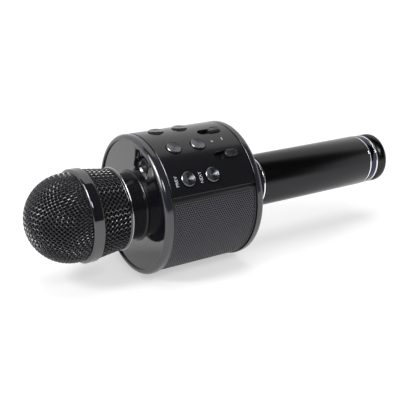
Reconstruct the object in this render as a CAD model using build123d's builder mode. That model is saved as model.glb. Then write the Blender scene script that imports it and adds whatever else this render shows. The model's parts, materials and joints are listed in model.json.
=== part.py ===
"""Wireless karaoke microphone with a built-in speaker, lying on its round barrel.

Millimetres. X runs along the microphone, from the grille head (-X) to the handle (+X), and Z is up.
The origin is under the middle of the microphone, on the surface that the barrel's two rims rest on.
Angles round the axis count from straight up (0) towards -Y (90).
"""
import os
from math import cos, radians, sin

from build123d import *

os.makedirs("parts", exist_ok=True)

# ---------------------------------------------------------------- driving dimensions
# Barrel
BARREL_RADIUS = 40.0
BODY_LENGTH = 53.4          # control panel and speaker mesh
RIM_WIDTH = 4.6
RIM_THICKNESS = 2.8
RIM_ROUNDING = 2.2
RIM_INNER_ROUNDING = 0.4
RIM_GROOVE = 0.6            # between a rim and the panel
DISH_RECESS = 1.0           # dish face behind the rim's front

# Control panel
PANEL_ANGLE = 28.6          # where the panel's mid-line faces
PANEL_HALF_ANGLE = 41.6
PANEL_THICKNESS = 2.4
BUTTON_RADIUS = 4.1
BUTTON_STANDOUT = 0.9       # cap above the panel's crest
BUTTON_FLANGE_RADIUS = 4.8
BUTTON_FLANGE_THICKNESS = 0.7
BUTTON_TRAVEL = 0.5
BUTTON_EDGE = 0.35
BUTTON_ROW_ANGLE = 29.0
BUTTON_COLUMN_PITCH = 15.3
BUTTON_COLUMNS_FROM_FRONT = 11.9
SLIDER_ANGLE = 14.3         # each side of the mid-line
SLOT_LENGTH = 14.8
SLOT_WIDTH = 5.0
SLOT_FROM_REAR = 5.4
KNOB_LENGTH = 8.0
KNOB_STANDOUT = 1.4
KNOB_FLANGE_THICKNESS = 0.8
KNOB_FLANGE_MARGIN = 1.0
KNOB_EDGE = 0.4

# Speaker mesh and chassis
MESH_THICKNESS = 0.8
MESH_RECESS = 0.8           # mesh below the rims
MESH_GAP_ANGLE = 3.0        # between the panel's edge and the mesh
CHASSIS_WALL = 2.4
CHASSIS_FLANGE = 2.0
CHASSIS_FLANGE_RADIUS = 22.0
MESH_LAND_WIDTH = 2.0
WINDOW_COUNT = 7
WINDOW_RIB_ANGLE = 5.0
WINDOW_MARGIN = 3.0
KEY_WINDOW_MARGIN_ANGLE = 4.0
BAFFLE_THICKNESS = 2.0

# Speaker drivers and bass radiator
DRIVER_RADIUS = 19.5
DRIVER_FLANGE = 1.6
DRIVER_SEAT = 26.5          # driver's face from the axis
CONE_RADIUS = 17.0
CONE_DEPTH = 6.5
CONE_NECK_RADIUS = 6.5
CONE_THICKNESS = 0.8
BASKET_DEPTH = 9.5
BASKET_NECK_RADIUS = 11.5
BASKET_WALL = 1.2
MAGNET_RADIUS = 13.0
MAGNET_DEPTH = 7.0
RADIATOR_SEAT = 30.0        # radiator's face from the axis
RADIATOR_LENGTH = 40.0
RADIATOR_WIDTH = 22.0
RADIATOR_THICKNESS = 3.2

# Electronics
KEY_BOARD_THICKNESS = 1.0
KEY_BOARD_HALF_ANGLE = 38.0
DOME_SWITCH_RADIUS = 3.0
DOME_SWITCH_HEIGHT = 0.5
POT_LENGTH = 19.0
POT_WIDTH = 6.0
POT_DEPTH = 4.0
MAIN_BOARD_HEIGHT = 23.2    # board's face from the axis, towards the panel
MAIN_BOARD_WIDTH = 34.0
BOARD_THICKNESS = 1.6
CHIP_HEIGHT = 1.4

# Neck, collar and sockets
NECK_RADIUS = 19.0
NECK_LENGTH = 10.9          # from the dish to the grille's base ring
NECK_BORE = 14.0
NECK_FLARE = 5.0
SPIGOT_RADIUS = 18.0        # the head screws on to it
SPIGOT_LENGTH = 9.0
JACK_FROM_RIM = 6.6
JACK_RECESS_RADIUS = 5.2
JACK_RECESS_DEPTH = 1.2
JACK_NUT_RADIUS = 3.9
JACK_BARREL_RADIUS = 3.0
JACK_BORE_RADIUS = 1.8
JACK_LENGTH = 15.0
COLLAR_RADIUS = 15.2
COLLAR_LENGTH = 19.4        # from the rear dish to the handle's front ring
COLLAR_FLARE = 4.0
COLLAR_BORE = 9.0
CHARGE_FROM_AXIS = 26.0
CHARGE_ANGLE = 263.6
CHARGE_WIDTH = 9.2
CHARGE_HEIGHT = 3.6
CHARGE_WALL = 0.4
CHARGE_DEPTH = 7.5
SCREW_CIRCLE_RADIUS = 29.0
SCREW_ANGLES = (45.0, 150.0, 210.0, 315.0)
SCREW_RADIUS = 1.25
SCREW_HEAD_RADIUS = 2.2
SCREW_HEAD_HEIGHT = 1.4
SCREW_BITE = 2.4

# Grille head
DOME_RADIUS = 24.6
DOME_STRAIGHT = 2.5
BAND_RADIUS = 26.0
BAND_WIDTH = 7.0
BAND_ROUNDING = 1.0
SKIRT_LENGTH = 16.0
SKIRT_FRONT_RADIUS = 25.2
BASE_RING_RADIUS = 23.6
BASE_RING_WIDTH = 1.8
GRILLE_THICKNESS = 0.9
FOAM_THICKNESS = 3.0
CAPSULE_RADIUS = 11.0
CAPSULE_LENGTH = 14.0
CAPSULE_EDGE = 1.5
CUP_WALL = 2.0
CUP_DEPTH = 8.0
CUP_LENGTH = 14.0
CUP_FLANGE_RADIUS = 17.0
CUP_FLANGE_THICKNESS = 3.0

# Handle
HANDLE_RADIUS = 16.0
HANDLE_WALL = 1.8
TRIM_INSET = 0.2            # rings, band and end cap below the tube's surface
HANDLE_LENGTH = 85.8
HANDLE_SPIGOT_LENGTH = 14.0
BRIGHT_RING_WIDTH = 1.2
HANDLE_BAND_WIDTH = 4.4
END_CAP_LENGTH = 8.2
END_CAP_ROUNDING = 1.5
TAIL_INSERT_GRIP = 6.0      # insert inside the handle
TAIL_BORE = 11.0
PLUG_LENGTH = 8.0
PLUG_WALL = 2.6
BATTERY_RADIUS = 9.2
BATTERY_LENGTH = 65.0
BATTERY_NUB_RADIUS = 3.0
BATTERY_NUB_HEIGHT = 0.8
CONTACT_THICKNESS = 0.5
CONTACT_RADIUS = 11.0
SPRING_TIP_RADIUS = 4.0
SPRING_BASE_RADIUS = 6.5

# Clearances
FIT = 0.1                   # pieces fixed to each other
RUN = 0.3                   # pieces that move past each other
SEAT = 0.2                  # between a screwed piece and its stop

# ---------------------------------------------------------------- stations along X
MIC_LENGTH = (
    DOME_RADIUS + DOME_STRAIGHT + BAND_WIDTH + SKIRT_LENGTH + BASE_RING_WIDTH + NECK_LENGTH
    + BODY_LENGTH + 2 * (RIM_GROOVE + RIM_WIDTH - DISH_RECESS)
    + COLLAR_LENGTH + HANDLE_LENGTH + 3 * BRIGHT_RING_WIDTH + HANDLE_BAND_WIDTH + END_CAP_LENGTH
)
tip_x = -MIC_LENGTH / 2
dome_centre_x = tip_x + DOME_RADIUS
band_front_x = dome_centre_x + DOME_STRAIGHT
band_rear_x = band_front_x + BAND_WIDTH
base_ring_front_x = band_rear_x + SKIRT_LENGTH
base_ring_rear_x = base_ring_front_x + BASE_RING_WIDTH
dish_x = base_ring_rear_x + NECK_LENGTH
rim_front_x = dish_x - DISH_RECESS
chassis_front_x = rim_front_x + RIM_WIDTH
body_front_x = chassis_front_x + RIM_GROOVE
body_rear_x = body_front_x + BODY_LENGTH
chassis_rear_x = body_rear_x + RIM_GROOVE
rim_rear_x = chassis_rear_x + RIM_WIDTH
rear_dish_x = rim_rear_x - DISH_RECESS
collar_rear_x = rear_dish_x + COLLAR_LENGTH
handle_front_x = collar_rear_x + BRIGHT_RING_WIDTH
handle_rear_x = handle_front_x + HANDLE_LENGTH
tail_band_front_x = handle_rear_x + BRIGHT_RING_WIDTH
tail_band_rear_x = tail_band_front_x + HANDLE_BAND_WIDTH
end_cap_front_x = tail_band_rear_x + BRIGHT_RING_WIDTH
end_x = end_cap_front_x + END_CAP_LENGTH
spigot_front_x = base_ring_rear_x - SPIGOT_LENGTH

# ---------------------------------------------------------------- radii that follow
rim_inner_radius = BARREL_RADIUS - RIM_THICKNESS
panel_inner_radius = BARREL_RADIUS - PANEL_THICKNESS
chassis_radius = panel_inner_radius - FIT
jack_from_axis = rim_inner_radius - JACK_FROM_RIM
chassis_inner_radius = chassis_radius - CHASSIS_WALL
mesh_radius = BARREL_RADIUS - MESH_RECESS
mesh_inner_radius = mesh_radius - MESH_THICKNESS
handle_bore = HANDLE_RADIUS - HANDLE_WALL
trim_radius = HANDLE_RADIUS - TRIM_INSET
insert_radius = handle_bore - FIT
head_bore = SPIGOT_RADIUS + RUN
foam_radius = DOME_RADIUS - GRILLE_THICKNESS - FIT
key_board_radius = chassis_radius - CHASSIS_WALL - FIT

# ---------------------------------------------------------------- places on the barrel
mic_axis = Axis((0, 0, BARREL_RADIUS), (1, 0, 0))
profile_plane = Plane(origin=(0, 0, BARREL_RADIUS), x_dir=(1, 0, 0), z_dir=(0, -1, 0))
button_columns = [
    body_front_x + BUTTON_COLUMNS_FROM_FRONT + column * BUTTON_COLUMN_PITCH for column in range(2)
]
button_rows = [PANEL_ANGLE + row * BUTTON_ROW_ANGLE for row in (-1, 0, 1)]
slider_angles = [PANEL_ANGLE + side * SLIDER_ANGLE for side in (-1, 1)]
slot_centre_x = body_rear_x - SLOT_FROM_REAR - SLOT_LENGTH / 2
knob_rest_x = slot_centre_x + (SLOT_LENGTH - KNOB_LENGTH) / 2 - RUN
driver_x = (body_front_x + body_rear_x) / 2


def section_plane(x):
    """Plane across the microphone at x; its angles count as the barrel's do."""
    return Plane(origin=(x, 0, BARREL_RADIUS), x_dir=(0, 0, 1), z_dir=(1, 0, 0))


def radial_plane(x, angle, height=0.0):
    """Plane at x whose normal points outwards at an angle, a height from the axis."""
    outwards = (0, -sin(radians(angle)), cos(radians(angle)))
    return Plane(origin=(x, 0, BARREL_RADIUS), x_dir=(1, 0, 0), z_dir=outwards).offset(height)


def turned_profile(points):
    """Closed outline of (x, radius) points, to be turned round the microphone's axis."""
    with BuildSketch(profile_plane) as profile:
        with BuildLine():
            Polyline(*points, close=True)
        make_face()
    return profile.sketch


def tube_profile(front_x, rear_x, inner_radius, outer_radius):
    """Profile of a plain tube between two stations."""
    return turned_profile([
        (front_x, inner_radius),
        (rear_x, inner_radius),
        (rear_x, outer_radius),
        (front_x, outer_radius),
    ])


def arc_wall(x, inner_radius, outer_radius, mid_angle, half_angle):
    """Cross-section at x of a curved wall between two radii, its seam opposite the wall."""
    opposite = (0, sin(radians(mid_angle)), -cos(radians(mid_angle)))
    wall_plane = Plane(origin=(x, 0, BARREL_RADIUS), x_dir=opposite, z_dir=(1, 0, 0))
    with BuildSketch(wall_plane) as wall:
        with BuildLine():
            outer = CenterArc((0, 0), outer_radius, 180 - half_angle, 2 * half_angle)
            inner = CenterArc((0, 0), inner_radius, 180 - half_angle, 2 * half_angle)
            Line(outer @ 0, inner @ 0)
            Line(outer @ 1, inner @ 1)
        make_face()
    return wall.sketch


def finish(part, label):
    """Label a piece and write it to its own file."""
    part.label = label
    export_step(part, f"parts/{label}.step")


# ---------------------------------------------------------------- grille head
with BuildPart() as grille_dome:
    with BuildSketch(profile_plane) as dome_profile:
        with BuildLine():
            outer = CenterArc((dome_centre_x, 0), DOME_RADIUS, 90, 90)
            inner = CenterArc((dome_centre_x, 0), DOME_RADIUS - GRILLE_THICKNESS, 90, 90)
            Line(outer @ 1, inner @ 1)
            Polyline(
                outer @ 0,
                (band_front_x + RUN, DOME_RADIUS),
                (band_front_x + RUN, DOME_RADIUS - GRILLE_THICKNESS),
                inner @ 0,
            )
        make_face()
    revolve(axis=mic_axis)
finish(grille_dome.part, "grille_dome")

with BuildPart() as grille_band:
    with BuildSketch(profile_plane) as band_profile:
        with BuildLine():
            Polyline(
                (band_front_x, DOME_RADIUS),
                (band_front_x + RUN, DOME_RADIUS),
                (band_front_x + RUN, foam_radius),
                (band_rear_x, foam_radius),
                (band_rear_x, BAND_RADIUS),
                (band_front_x, BAND_RADIUS),
                close=True,
            )
        make_face()
        fillet(band_profile.vertices().group_by(Axis.Y)[-1], BAND_ROUNDING)
    revolve(axis=mic_axis)
finish(grille_band.part, "grille_band")

with BuildPart() as grille_skirt:
    revolve(
        turned_profile([
            (band_rear_x, SKIRT_FRONT_RADIUS),
            (band_rear_x, SKIRT_FRONT_RADIUS - GRILLE_THICKNESS),
            (base_ring_front_x, BASE_RING_RADIUS - 2 * GRILLE_THICKNESS),
            (base_ring_front_x, BASE_RING_RADIUS - GRILLE_THICKNESS),
        ]),
        axis=mic_axis,
    )
finish(grille_skirt.part, "grille_skirt")

sleeve_radius = head_bore + 1.2
with BuildPart() as grille_base_ring:
    revolve(
        turned_profile([
            (base_ring_front_x, BASE_RING_RADIUS),
            (base_ring_rear_x - SEAT, BASE_RING_RADIUS),
            (base_ring_rear_x - SEAT, head_bore),
            (spigot_front_x, head_bore),
            (spigot_front_x, sleeve_radius),
            (base_ring_front_x, sleeve_radius),
        ]),
        axis=mic_axis,
    )
finish(grille_base_ring.part, "grille_base_ring")

foam_bore = foam_radius - FOAM_THICKNESS
skirt_bore = BASE_RING_RADIUS - 2 * GRILLE_THICKNESS
with BuildPart() as windscreen_foam:
    with BuildSketch(profile_plane) as foam_profile:
        with BuildLine():
            outer = CenterArc((dome_centre_x, 0), foam_radius, 90, 90)
            inner = CenterArc((dome_centre_x, 0), foam_bore, 90, 90)
            Line(outer @ 1, inner @ 1)
            Polyline(
                outer @ 0,
                (band_rear_x, foam_radius - FIT),
                (base_ring_front_x - FIT, skirt_bore - FIT),
                (base_ring_front_x - FIT, sleeve_radius + FIT),
                (spigot_front_x - RUN, sleeve_radius + FIT),
                inner @ 0,
            )
        make_face()
    revolve(axis=mic_axis)
finish(windscreen_foam.part, "windscreen_foam")

# ---------------------------------------------------------------- capsule on the neck
capsule_rear_x = spigot_front_x - CUP_LENGTH + CUP_DEPTH
with BuildPart() as capsule_mount:
    revolve(
        turned_profile([
            (spigot_front_x - CUP_LENGTH, CAPSULE_RADIUS + FIT),
            (spigot_front_x - CUP_LENGTH, CAPSULE_RADIUS + CUP_WALL),
            (spigot_front_x - CUP_FLANGE_THICKNESS, CAPSULE_RADIUS + CUP_WALL),
            (spigot_front_x - CUP_FLANGE_THICKNESS, CUP_FLANGE_RADIUS),
            (spigot_front_x, CUP_FLANGE_RADIUS),
            (spigot_front_x, CAPSULE_RADIUS - CUP_WALL),
            (capsule_rear_x, CAPSULE_RADIUS - CUP_WALL),
            (capsule_rear_x, CAPSULE_RADIUS + FIT),
        ]),
        axis=mic_axis,
    )
finish(capsule_mount.part, "capsule_mount")

with BuildPart() as mic_capsule:
    with BuildSketch(section_plane(capsule_rear_x - CAPSULE_LENGTH)):
        Circle(CAPSULE_RADIUS)
    extrude(amount=CAPSULE_LENGTH)
    fillet(mic_capsule.edges().group_by(Axis.X)[0], CAPSULE_EDGE)
finish(mic_capsule.part, "mic_capsule")

# ---------------------------------------------------------------- neck, front dish, jack and rims
jack_place = Location((
    jack_from_axis * cos(radians(PANEL_ANGLE)),
    jack_from_axis * sin(radians(PANEL_ANGLE)),
))
neck_flange_radius = NECK_RADIUS + NECK_FLARE
with BuildPart() as neck:
    with BuildSketch(profile_plane) as neck_profile:
        with BuildLine():
            flare = CenterArc((dish_x - NECK_FLARE, neck_flange_radius), NECK_FLARE, 270, 90)
            Polyline(
                flare @ 0,
                (base_ring_rear_x, NECK_RADIUS),
                (base_ring_rear_x, SPIGOT_RADIUS),
                (spigot_front_x, SPIGOT_RADIUS),
                (spigot_front_x, NECK_BORE),
                (chassis_front_x, NECK_BORE),
                (chassis_front_x, neck_flange_radius),
                flare @ 1,
            )
        make_face()
    revolve(axis=mic_axis)
finish(neck.part, "neck")

with BuildPart() as front_dish:
    revolve(
        tube_profile(
            dish_x, chassis_front_x, neck_flange_radius + FIT / 2, rim_inner_radius - FIT / 2
        ),
        axis=mic_axis,
    )
    with BuildSketch(section_plane(dish_x)):
        with Locations(jack_place):
            Circle(JACK_RECESS_RADIUS)
    extrude(amount=JACK_RECESS_DEPTH, mode=Mode.SUBTRACT)
    with BuildSketch(section_plane(dish_x)):
        with Locations(jack_place):
            Circle(JACK_BARREL_RADIUS + FIT)
    extrude(amount=chassis_front_x - dish_x, mode=Mode.SUBTRACT)
    with BuildSketch(section_plane(chassis_front_x)):
        for angle in SCREW_ANGLES:
            with PolarLocations(SCREW_CIRCLE_RADIUS, 1, PANEL_ANGLE + angle):
                Circle(SCREW_RADIUS + FIT)
    extrude(amount=-SCREW_BITE - FIT, mode=Mode.SUBTRACT)
finish(front_dish.part, "front_dish")

with BuildPart() as jack_socket:
    nut_front_x = dish_x + JACK_RECESS_DEPTH / 4
    with BuildSketch(section_plane(nut_front_x)):
        with Locations(jack_place):
            Circle(JACK_NUT_RADIUS)
    extrude(amount=dish_x + JACK_RECESS_DEPTH - nut_front_x)
    with BuildSketch(section_plane(dish_x + JACK_RECESS_DEPTH)):
        with Locations(jack_place):
            Circle(JACK_BARREL_RADIUS)
    extrude(amount=JACK_LENGTH)
    with BuildSketch(section_plane(nut_front_x)):
        with Locations(jack_place):
            Circle(JACK_BORE_RADIUS)
    extrude(amount=JACK_LENGTH, mode=Mode.SUBTRACT)
finish(jack_socket.part, "jack_socket")


def rim_profile(outer_x, inner_x):
    """Section of a rim, rounded where it faces away from the barrel."""
    with BuildSketch(profile_plane) as rim:
        with BuildLine():
            Polyline(
                (outer_x, rim_inner_radius),
                (inner_x, rim_inner_radius),
                (inner_x, BARREL_RADIUS),
                (outer_x, BARREL_RADIUS),
                close=True,
            )
        make_face()
        outer_corners = rim.vertices().sort_by_distance((outer_x, BARREL_RADIUS))
        fillet(outer_corners[0], RIM_ROUNDING)
        inner_corners = rim.vertices().sort_by_distance((outer_x, rim_inner_radius))
        fillet(inner_corners[0], RIM_INNER_ROUNDING)
    return rim.sketch


with BuildPart() as front_rim:
    revolve(rim_profile(rim_front_x, chassis_front_x), axis=mic_axis)
finish(front_rim.part, "front_rim")

with BuildPart() as rear_rim:
    revolve(rim_profile(rim_rear_x, chassis_rear_x), axis=mic_axis)
finish(rear_rim.part, "rear_rim")

# ---------------------------------------------------------------- chassis
mesh_half_angle = 180 - PANEL_HALF_ANGLE - MESH_GAP_ANGLE
mesh_angle = PANEL_ANGLE + 180
window_pitch = 2 * (mesh_half_angle - WINDOW_RIB_ANGLE) / WINDOW_COUNT
chassis_length = chassis_rear_x - chassis_front_x
with BuildPart() as chassis:
    with BuildSketch(section_plane(chassis_front_x)):
        Circle(chassis_radius)
        Circle(chassis_inner_radius, mode=Mode.SUBTRACT)
    extrude(amount=chassis_length)
    for flange_x in (chassis_front_x, chassis_rear_x - CHASSIS_FLANGE):
        with BuildSketch(section_plane(flange_x)):
            Circle(chassis_radius)
            Circle(CHASSIS_FLANGE_RADIUS, mode=Mode.SUBTRACT)
        extrude(amount=CHASSIS_FLANGE)
    # key opening under the panel and sound windows under the mesh
    window_front_x = chassis_front_x + WINDOW_MARGIN
    window_length = chassis_length - 2 * WINDOW_MARGIN
    extrude(
        arc_wall(
            window_front_x,
            chassis_inner_radius - RUN,
            BARREL_RADIUS,
            PANEL_ANGLE,
            PANEL_HALF_ANGLE - KEY_WINDOW_MARGIN_ANGLE,
        ),
        amount=window_length,
        mode=Mode.SUBTRACT,
    )
    for window in range(WINDOW_COUNT):
        window_angle = mesh_angle + (window - (WINDOW_COUNT - 1) / 2) * window_pitch
        extrude(
            arc_wall(
                window_front_x,
                chassis_inner_radius - RUN,
                BARREL_RADIUS,
                window_angle,
                (window_pitch - WINDOW_RIB_ANGLE) / 2,
            ),
            amount=window_length,
            mode=Mode.SUBTRACT,
        )
    # lands that the mesh's ends and long edges rest on
    for land_x in (body_front_x, body_rear_x - MESH_LAND_WIDTH):
        extrude(
            arc_wall(
                land_x,
                chassis_radius - FIT,
                mesh_inner_radius - FIT / 2,
                mesh_angle,
                mesh_half_angle,
            ),
            amount=MESH_LAND_WIDTH,
        )
    # two baffles, across the barrel on each side of the panel
    for side in (-1, 1):
        with BuildSketch(section_plane(chassis_front_x + CHASSIS_FLANGE)):
            with Locations(Location((0, 0), PANEL_ANGLE)):
                with Locations((0, side * (DRIVER_SEAT + BAFFLE_THICKNESS / 2))):
                    Rectangle(2 * BARREL_RADIUS, BAFFLE_THICKNESS)
            Circle(chassis_inner_radius + FIT, mode=Mode.INTERSECT)
        extrude(amount=chassis_length - 2 * CHASSIS_FLANGE)
        with BuildSketch(radial_plane(driver_x, PANEL_ANGLE + side * 90, DRIVER_SEAT)):
            Circle(CONE_RADIUS)
        extrude(amount=BAFFLE_THICKNESS, mode=Mode.SUBTRACT)
    # holes for the jack, the charging socket and the screws
    with BuildSketch(section_plane(chassis_front_x)):
        with Locations(jack_place):
            Circle(JACK_BARREL_RADIUS + FIT)
        for angle in SCREW_ANGLES:
            with PolarLocations(SCREW_CIRCLE_RADIUS, 1, PANEL_ANGLE + angle):
                Circle(SCREW_RADIUS + FIT)
    extrude(amount=CHASSIS_FLANGE, mode=Mode.SUBTRACT)
    with BuildSketch(section_plane(chassis_rear_x)):
        for angle in SCREW_ANGLES:
            with PolarLocations(SCREW_CIRCLE_RADIUS, 1, PANEL_ANGLE + angle):
                Circle(SCREW_RADIUS + FIT)
        with PolarLocations(CHARGE_FROM_AXIS, 1, CHARGE_ANGLE):
            SlotOverall(CHARGE_WIDTH + 2 * FIT, CHARGE_HEIGHT + 2 * FIT, rotation=90)
    extrude(amount=-CHASSIS_FLANGE, mode=Mode.SUBTRACT)
finish(chassis.part, "chassis")

with BuildPart() as speaker_mesh:
    extrude(
        arc_wall(body_front_x, mesh_inner_radius, mesh_radius, mesh_angle, mesh_half_angle),
        amount=BODY_LENGTH,
    )
finish(speaker_mesh.part, "speaker_mesh")

# ---------------------------------------------------------------- control panel and controls
with BuildPart() as control_panel:
    extrude(
        arc_wall(body_front_x, panel_inner_radius, BARREL_RADIUS, PANEL_ANGLE, PANEL_HALF_ANGLE),
        amount=BODY_LENGTH,
    )
    for angle in button_rows:
        for x in button_columns:
            with BuildSketch(radial_plane(x, angle, chassis_inner_radius)):
                Circle(BUTTON_RADIUS + RUN)
            extrude(amount=BARREL_RADIUS, mode=Mode.SUBTRACT)
    for angle in slider_angles:
        with BuildSketch(radial_plane(slot_centre_x, angle, chassis_inner_radius)):
            SlotOverall(SLOT_LENGTH, SLOT_WIDTH)
        extrude(amount=BARREL_RADIUS, mode=Mode.SUBTRACT)
finish(control_panel.part, "control_panel")

button_flange_top = (panel_inner_radius**2 - BUTTON_FLANGE_RADIUS**2) ** 0.5 - RUN
button_bottom = button_flange_top - BUTTON_FLANGE_THICKNESS
button_height = BARREL_RADIUS + BUTTON_STANDOUT - button_bottom
for row, angle in enumerate(button_rows):
    for column, x in enumerate(button_columns):
        with BuildPart() as button:
            with BuildSketch(radial_plane(x, angle, button_bottom)):
                Circle(BUTTON_FLANGE_RADIUS)
            extrude(amount=BUTTON_FLANGE_THICKNESS)
            with BuildSketch(radial_plane(x, angle, button_bottom)):
                Circle(BUTTON_RADIUS)
            extrude(amount=button_height)
            outer_edges = button.edges().filter_by(GeomType.CIRCLE).sort_by_distance(
                radial_plane(x, angle, BARREL_RADIUS + BUTTON_STANDOUT).origin
            )
            chamfer(outer_edges[0], BUTTON_EDGE)
        finish(button.part, f"button_{'abc'[row]}{column + 1}")

knob_width = SLOT_WIDTH - 2 * RUN
knob_flange_width = SLOT_WIDTH + 2 * KNOB_FLANGE_MARGIN
knob_flange_length = KNOB_LENGTH + 2 * KNOB_FLANGE_MARGIN
knob_flange_top = (panel_inner_radius**2 - (knob_flange_width / 2) ** 2) ** 0.5 - RUN
knob_bottom = knob_flange_top - KNOB_FLANGE_THICKNESS
for slider, angle in enumerate(slider_angles):
    with BuildPart() as slider_knob:
        with BuildSketch(radial_plane(knob_rest_x, angle, knob_bottom)):
            Rectangle(knob_flange_length, knob_flange_width)
        extrude(amount=KNOB_FLANGE_THICKNESS)
        with BuildSketch(radial_plane(knob_rest_x, angle, knob_bottom)):
            SlotOverall(KNOB_LENGTH, knob_width)
        extrude(amount=BARREL_RADIUS + KNOB_STANDOUT - knob_bottom)
        crest = radial_plane(knob_rest_x, angle, BARREL_RADIUS + KNOB_STANDOUT)
        top_face = slider_knob.faces().sort_by_distance(crest.origin)[0]
        chamfer(top_face.edges(), KNOB_EDGE)
    finish(slider_knob.part, f"slider_knob_{'ab'[slider]}")

# ---------------------------------------------------------------- boards
pot_top = knob_bottom - RUN
pot_hole_depth = POT_DEPTH + KEY_BOARD_THICKNESS
key_board_front_x = dish_x + JACK_RECESS_DEPTH + JACK_LENGTH - RUN
flange_rear_inner_x = chassis_rear_x - CHASSIS_FLANGE
with BuildPart() as key_board:
    extrude(
        arc_wall(
            chassis_front_x + CHASSIS_FLANGE + FIT,
            key_board_radius - KEY_BOARD_THICKNESS,
            key_board_radius,
            PANEL_ANGLE,
            KEY_BOARD_HALF_ANGLE,
        ),
        amount=chassis_length - 2 * CHASSIS_FLANGE - 2 * FIT,
    )
    for angle in slider_angles:
        with BuildSketch(radial_plane(slot_centre_x, angle, pot_top - POT_DEPTH)):
            Rectangle(POT_LENGTH + 2 * FIT, POT_WIDTH + 2 * FIT)
        extrude(amount=pot_hole_depth, mode=Mode.SUBTRACT)
finish(key_board.part, "key_board")

switch_foot = (key_board_radius**2 - DOME_SWITCH_RADIUS**2) ** 0.5
with BuildPart() as dome_switches:
    for angle in button_rows:
        for x in button_columns:
            with BuildSketch(radial_plane(x, angle, key_board_radius + FIT / 2)):
                Circle(DOME_SWITCH_RADIUS)
            extrude(amount=DOME_SWITCH_HEIGHT)
finish(dome_switches.part, "dome_switches")

with BuildPart() as slide_pots:
    for angle in slider_angles:
        with BuildSketch(radial_plane(slot_centre_x, angle, pot_top - POT_DEPTH)):
            Rectangle(POT_LENGTH, POT_WIDTH)
        extrude(amount=POT_DEPTH)
finish(slide_pots.part, "slide_pots")

board_length = chassis_length - 2 * CHASSIS_FLANGE - 2 * FIT
with BuildPart() as main_board:
    with BuildSketch(radial_plane(driver_x, PANEL_ANGLE, MAIN_BOARD_HEIGHT - BOARD_THICKNESS)):
        Rectangle(board_length, MAIN_BOARD_WIDTH)
    extrude(amount=BOARD_THICKNESS)
    with BuildSketch(radial_plane(driver_x, PANEL_ANGLE, MAIN_BOARD_HEIGHT)):
        with GridLocations(board_length / 3, MAIN_BOARD_WIDTH / 2, 3, 2):
            Rectangle(board_length / 6, board_length / 6)
    extrude(amount=CHIP_HEIGHT)
finish(main_board.part, "main_board")

# ---------------------------------------------------------------- speakers
for name, side in (("front", 1), ("back", -1)):
    angle = PANEL_ANGLE + side * 90
    basket_height = DRIVER_SEAT - DRIVER_FLANGE - BASKET_DEPTH
    with BuildPart() as speaker_frame:
        with BuildSketch(radial_plane(driver_x, angle, DRIVER_SEAT - DRIVER_FLANGE)):
            Circle(DRIVER_RADIUS)
            Circle(CONE_RADIUS, mode=Mode.SUBTRACT)
        extrude(amount=DRIVER_FLANGE)
        with BuildSketch(radial_plane(driver_x, angle, DRIVER_SEAT - DRIVER_FLANGE)):
            Circle(CONE_RADIUS + BASKET_WALL)
        with BuildSketch(radial_plane(driver_x, angle, basket_height)):
            Circle(BASKET_NECK_RADIUS + BASKET_WALL)
        loft()
        with BuildSketch(radial_plane(driver_x, angle, DRIVER_SEAT - DRIVER_FLANGE)):
            Circle(CONE_RADIUS)
        with BuildSketch(radial_plane(driver_x, angle, basket_height)):
            Circle(BASKET_NECK_RADIUS)
        loft(mode=Mode.SUBTRACT)
        with BuildSketch(radial_plane(driver_x, angle, basket_height - BASKET_WALL)):
            Circle(BASKET_NECK_RADIUS + BASKET_WALL)
        extrude(amount=BASKET_WALL)
    finish(speaker_frame.part, f"speaker_frame_{name}")

    cone_front = DRIVER_SEAT - DRIVER_FLANGE
    with BuildPart() as speaker_cone:
        with BuildSketch(radial_plane(driver_x, angle, cone_front)):
            Circle(CONE_RADIUS - RUN)
        extrude(amount=CONE_THICKNESS)
        with BuildSketch(radial_plane(driver_x, angle, cone_front)):
            Circle(CONE_RADIUS - 2 * CONE_THICKNESS)
        with BuildSketch(radial_plane(driver_x, angle, cone_front - CONE_DEPTH)):
            Circle(CONE_NECK_RADIUS)
        loft()
        with BuildSketch(radial_plane(driver_x, angle, basket_height)):
            Circle(CONE_NECK_RADIUS)
        extrude(amount=cone_front - CONE_DEPTH - basket_height)
    finish(speaker_cone.part, f"speaker_cone_{name}")

    with BuildPart() as speaker_magnet:
        with BuildSketch(radial_plane(driver_x, angle, basket_height - BASKET_WALL)):
            Circle(MAGNET_RADIUS)
        extrude(amount=-MAGNET_DEPTH)
    finish(speaker_magnet.part, f"speaker_magnet_{name}")

with BuildPart() as bass_radiator:
    with BuildSketch(radial_plane(driver_x, PANEL_ANGLE + 180, RADIATOR_SEAT - RADIATOR_THICKNESS)):
        Rectangle(board_length, RADIATOR_WIDTH)
    extrude(amount=1)
    with BuildSketch(radial_plane(driver_x, PANEL_ANGLE + 180, RADIATOR_SEAT - RADIATOR_THICKNESS)):
        SlotOverall(RADIATOR_LENGTH, RADIATOR_WIDTH * 0.7)
    extrude(amount=RADIATOR_THICKNESS)
finish(bass_radiator.part, "bass_radiator")

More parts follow.
